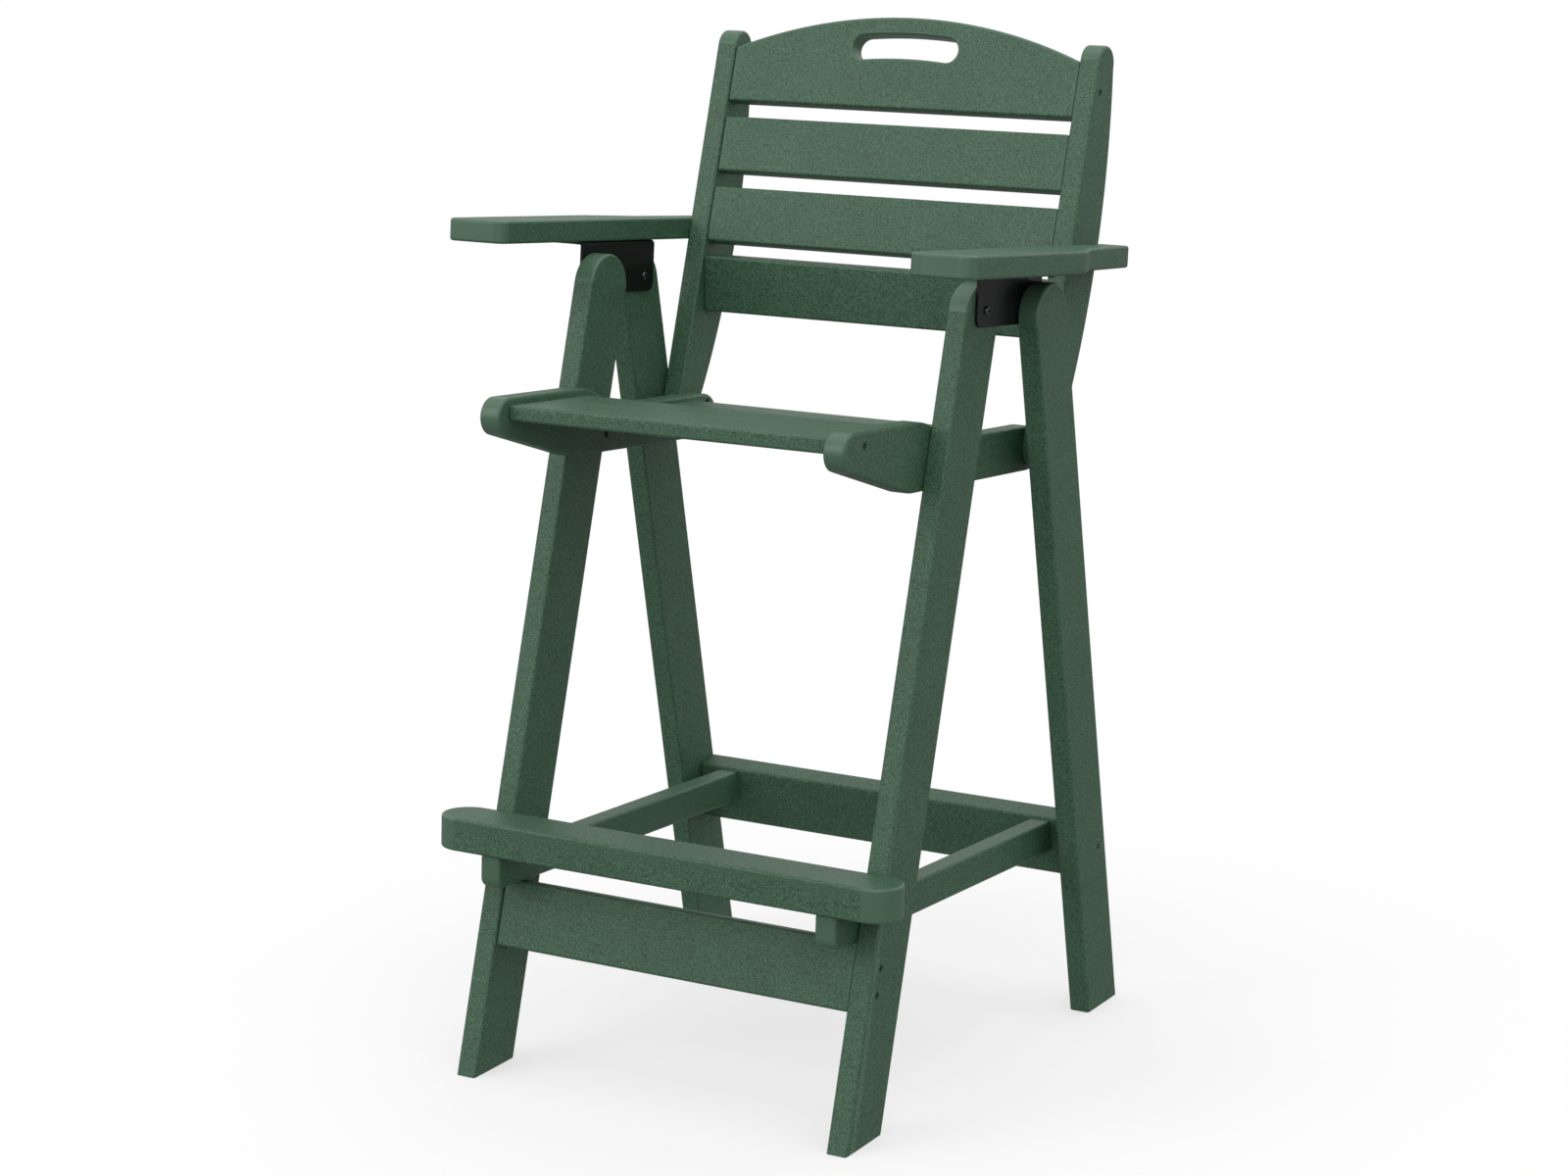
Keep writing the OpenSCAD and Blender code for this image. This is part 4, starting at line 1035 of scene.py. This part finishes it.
class CHAIR_OT_screws(bpy.types.Operator):
    """Makes the visible and hidden screws and the post bolts, one mesh for each CAD node"""

    bl_idname = "chair.screws"
    bl_label = "Screws"

    def execute(self, context):
        k = chair_layout()
        base, arm = k.base, k.arm
        rest_mid, arm_mid = k.rest_rear - base.rest_depth / 2, (k.front_a + k.rear_a) / 2
        rest_screws = [(rest_mid + way * HALF_PAIR, -base.height, k.x_mid) for way in PAIR]
        add_screws("long_screws", LONG, [
            (k.front, "o", 1, [(*spot, k.x_plate) for spot in k.apron_screws]),
            (k.rear, "o", 1, [(*k.rear_screw, k.x_outer)]),
            (k.post, "o", 1, [(*k.top_screw, k.x_plate)]),
            (k.seat_frame, "o", 1, [(*k.slat_screw, k.x_leg)]),
            (k.stretcher, "v", -1, rest_screws),
            (k.rear, "u", -1, [(base.rail_inset, k.end_up, k.x_mid)]),
        ], SINK, "screw_steel")
        add_screws("short_screws", SHORT, [
            (k.stretcher, "o", -1, [(*spot, k.x_rail) for spot in k.leg_screws]),
            (k.front, "o", -1, [(*spot, k.x_rail) for spot in k.rail_screws]),
            (k.post, "o", -1, [(*k.post_screw, k.x_rail)]),
            (k.arm_frame, "o", -1, [(*spot, k.x_leg) for spot in k.arm_post_screws]),
        ], SINK, "screw_steel")
        add_screws("bracket_screws", PAN, [
            (k.arm_frame, "o", 1, [(k.front_a, -arm.screw_drop, k.x_rear)]),
            (k.arm_frame, "o", -1, [(k.rear_a, -arm.screw_drop, k.x_plate)]),
        ], 0, "black_screw")
        seats = [(arm_mid + way * ARM_HALF, -arm.plate_t, k.x_plate + ARM_OUT) for way in PAIR]
        add_screws("arm_screws", PAN, [(k.arm_frame, "v", -1, seats)], 0, "black_screw")
        joint = [(turned(*k.bolt, 0), "o", -1, [(0, 0, k.x_rail)])]
        add_screws("post_bolts", BOLT, joint, SINK, "screw_steel")
        # The washers and dowels are hidden, so the CAD's own shapes take the finish
        for node in ("spacer_washers", "slat_dowels"):
            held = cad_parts[node].data.materials
            held.clear()
            held.append(made_of("screw_steel"))
        return {"FINISHED"}


# Stage

# Camera's sensor in millimetres, and how far it sees, half the floor's side and the height that
# the lamps aim at, in metres
SENSOR, SIGHT, FLOOR, AIM_UP = 36.0, 200.0, 60.0, 0.6
# Where the floor's fade starts and ends, and the share of it that glows by itself before that
FADE, GLOWING = (0.45, 1.4), 0.58


def studio_floor(stage):
    """Material of the floor, which is white to the camera and throws a low, even light on the
    chair. Near the chair two fifths of what the camera sees are lit, which keeps the shadow, and
    from there this fades to nothing."""
    paper = bpy.data.materials.new("studio_floor")
    paper.use_nodes = True
    tree = paper.node_tree
    tree.nodes.remove(tree.nodes["Principled BSDF"])
    seen = node_in(tree, "ShaderNodeLightPath").outputs["Is Camera Ray"]
    unseen = node_in(tree, "ShaderNodeMath", {"operation": "SUBTRACT"}, i0=1.0, i1=seen)
    strength = node_in(tree, "ShaderNodeMapRange", Value=seen, To_Min=stage.bounce, To_Max=1.0)
    matt = node_in(tree, "ShaderNodeBsdfDiffuse", Color=tuple(stage.floor))
    glow = node_in(tree, "ShaderNodeEmission", Strength=strength)
    where = node_in(tree, "ShaderNodeTexCoord").outputs["Object"]
    off = node_in(tree, "ShaderNodeVectorMath", {"operation": "LENGTH"}, i0=where).outputs["Value"]
    fade = node_in(
        tree, "ShaderNodeMapRange", {"interpolation_type": "SMOOTHSTEP"},
        Value=off, From_Min=FADE[0], From_Max=FADE[1], To_Min=GLOWING, To_Max=1.0,
    )
    share = node_in(tree, "ShaderNodeMath", {"operation": "MAXIMUM"}, i0=fade, i1=unseen)
    blend = node_in(tree, "ShaderNodeMixShader", Fac=share, i1=matt, i2=glow)
    node_in(tree, tree.nodes["Material Output"], Surface=blend)
    return paper


class CHAIR_OT_stage(bpy.types.Operator):
    """Makes the floor, the lamps, the sky and the camera"""

    bl_idname = "chair.stage"
    bl_label = "Stage"

    def execute(self, context):
        scene = context.scene
        stage = scene.chair_stage
        camera = bpy.data.objects.new("camera", bpy.data.cameras.new("camera"))
        camera.location = stage.eye
        camera.rotation_euler = (stage.pitch, 0.0, stage.heading)
        camera.data.lens = stage.lens
        camera.data.sensor_width = SENSOR
        camera.data.clip_end = SIGHT
        scene.collection.objects.link(camera)
        scene.camera = camera

        mesh = bpy.data.meshes.new("floor")
        corners = [(FLOOR * x, FLOOR * y, 0) for x, y in ((-1, -1), (1, -1), (1, 1), (-1, 1))]
        mesh.from_pydata(corners, [], [(0, 1, 2, 3)])
        mesh.materials.append(studio_floor(stage))
        floor = bpy.data.objects.new("floor", mesh)
        scene.collection.objects.link(floor)

        # Square soft lamps, all aimed at the middle of the chair
        aim = np.array([0, 0, AIM_UP])
        for name, watts, size, place in (
            ("front_left_softbox", stage.key, 3.0, (-3.2, -4.2, 3.2)),
            ("front_right_softbox", stage.fill, 3.0, (3.2, -4.2, 3.2)),
            ("overhead_softbox", stage.top, 4.0, (0.0, -0.3, 6.0)),
            ("rear_softbox", stage.rear, 3.0, (0.0, 4.5, 4.5)),
        ):
            data = bpy.data.lights.new(name, "AREA")
            data.energy, data.size = watts, size
            lamp = bpy.data.objects.new(name, data)
            lamp.location = place
            x, y, z = aim - place
            turn = math.atan2(math.hypot(x, y), -z), 0.0, math.atan2(y, x) - math.pi / 2
            lamp.rotation_euler = turn
            scene.collection.objects.link(lamp)

        world = bpy.data.worlds.new("pale_surround")
        world.use_nodes = True
        tree = world.node_tree
        seen = node_in(tree, "ShaderNodeLightPath").outputs
        rays = node_in(
            tree, "ShaderNodeMath", {"operation": "ADD", "use_clamp": True},
            i0=seen["Is Camera Ray"], i1=seen["Is Transmission Ray"],
        )
        strength = node_in(tree, "ShaderNodeMapRange", Value=rays, To_Min=stage.sky, To_Max=1.0)
        node_in(tree, tree.nodes["Background"], Color=(1, 1, 1, 1), Strength=strength)
        scene.world = world
        scene.view_settings.view_transform = "Standard"
        return {"FINISHED"}


OPERATORS = (
    CHAIR_OT_stage, CHAIR_OT_legs, CHAIR_OT_posts, CHAIR_OT_side_rails, CHAIR_OT_base,
    CHAIR_OT_back_slats, CHAIR_OT_seat_slats, CHAIR_OT_arms, CHAIR_OT_brackets, CHAIR_OT_screws,
)


class CHAIR_PT_panel(bpy.types.Panel):
    """Lists the chair's pieces and settings"""

    bl_label = "Patio bar chair"
    bl_idname = "CHAIR_PT_panel"
    bl_space_type = "VIEW_3D"
    bl_region_type = "UI"
    bl_category = "Bar chair"

    def draw(self, context):
        for operator in OPERATORS:
            self.layout.operator(operator.bl_idname)
        for group in GROUPS:
            box = self.layout.box()
            settings = getattr(context.scene, group)
            box.label(text=group.replace("_", " ").capitalize())
            for name in settings.__annotations__:
                box.prop(settings, name)


CLASSES = (*GROUPS.values(), *OPERATORS, CHAIR_PT_panel)


def register():
    for kind in CLASSES:
        bpy.utils.register_class(kind)
    for name, kind in GROUPS.items():
        setattr(bpy.types.Scene, name, PointerProperty(type=kind))


def unregister():
    for name in GROUPS:
        delattr(bpy.types.Scene, name)
    for kind in reversed(CLASSES):
        bpy.utils.unregister_class(kind)


def main():
    register()
    for operator in OPERATORS:
        group, name = operator.bl_idname.split(".")
        result = getattr(getattr(bpy.ops, group), name)()
        if result != {"FINISHED"}:
            raise RuntimeError(f"{operator.bl_idname} didn't finish")


if __name__ == "__main__":
    main()
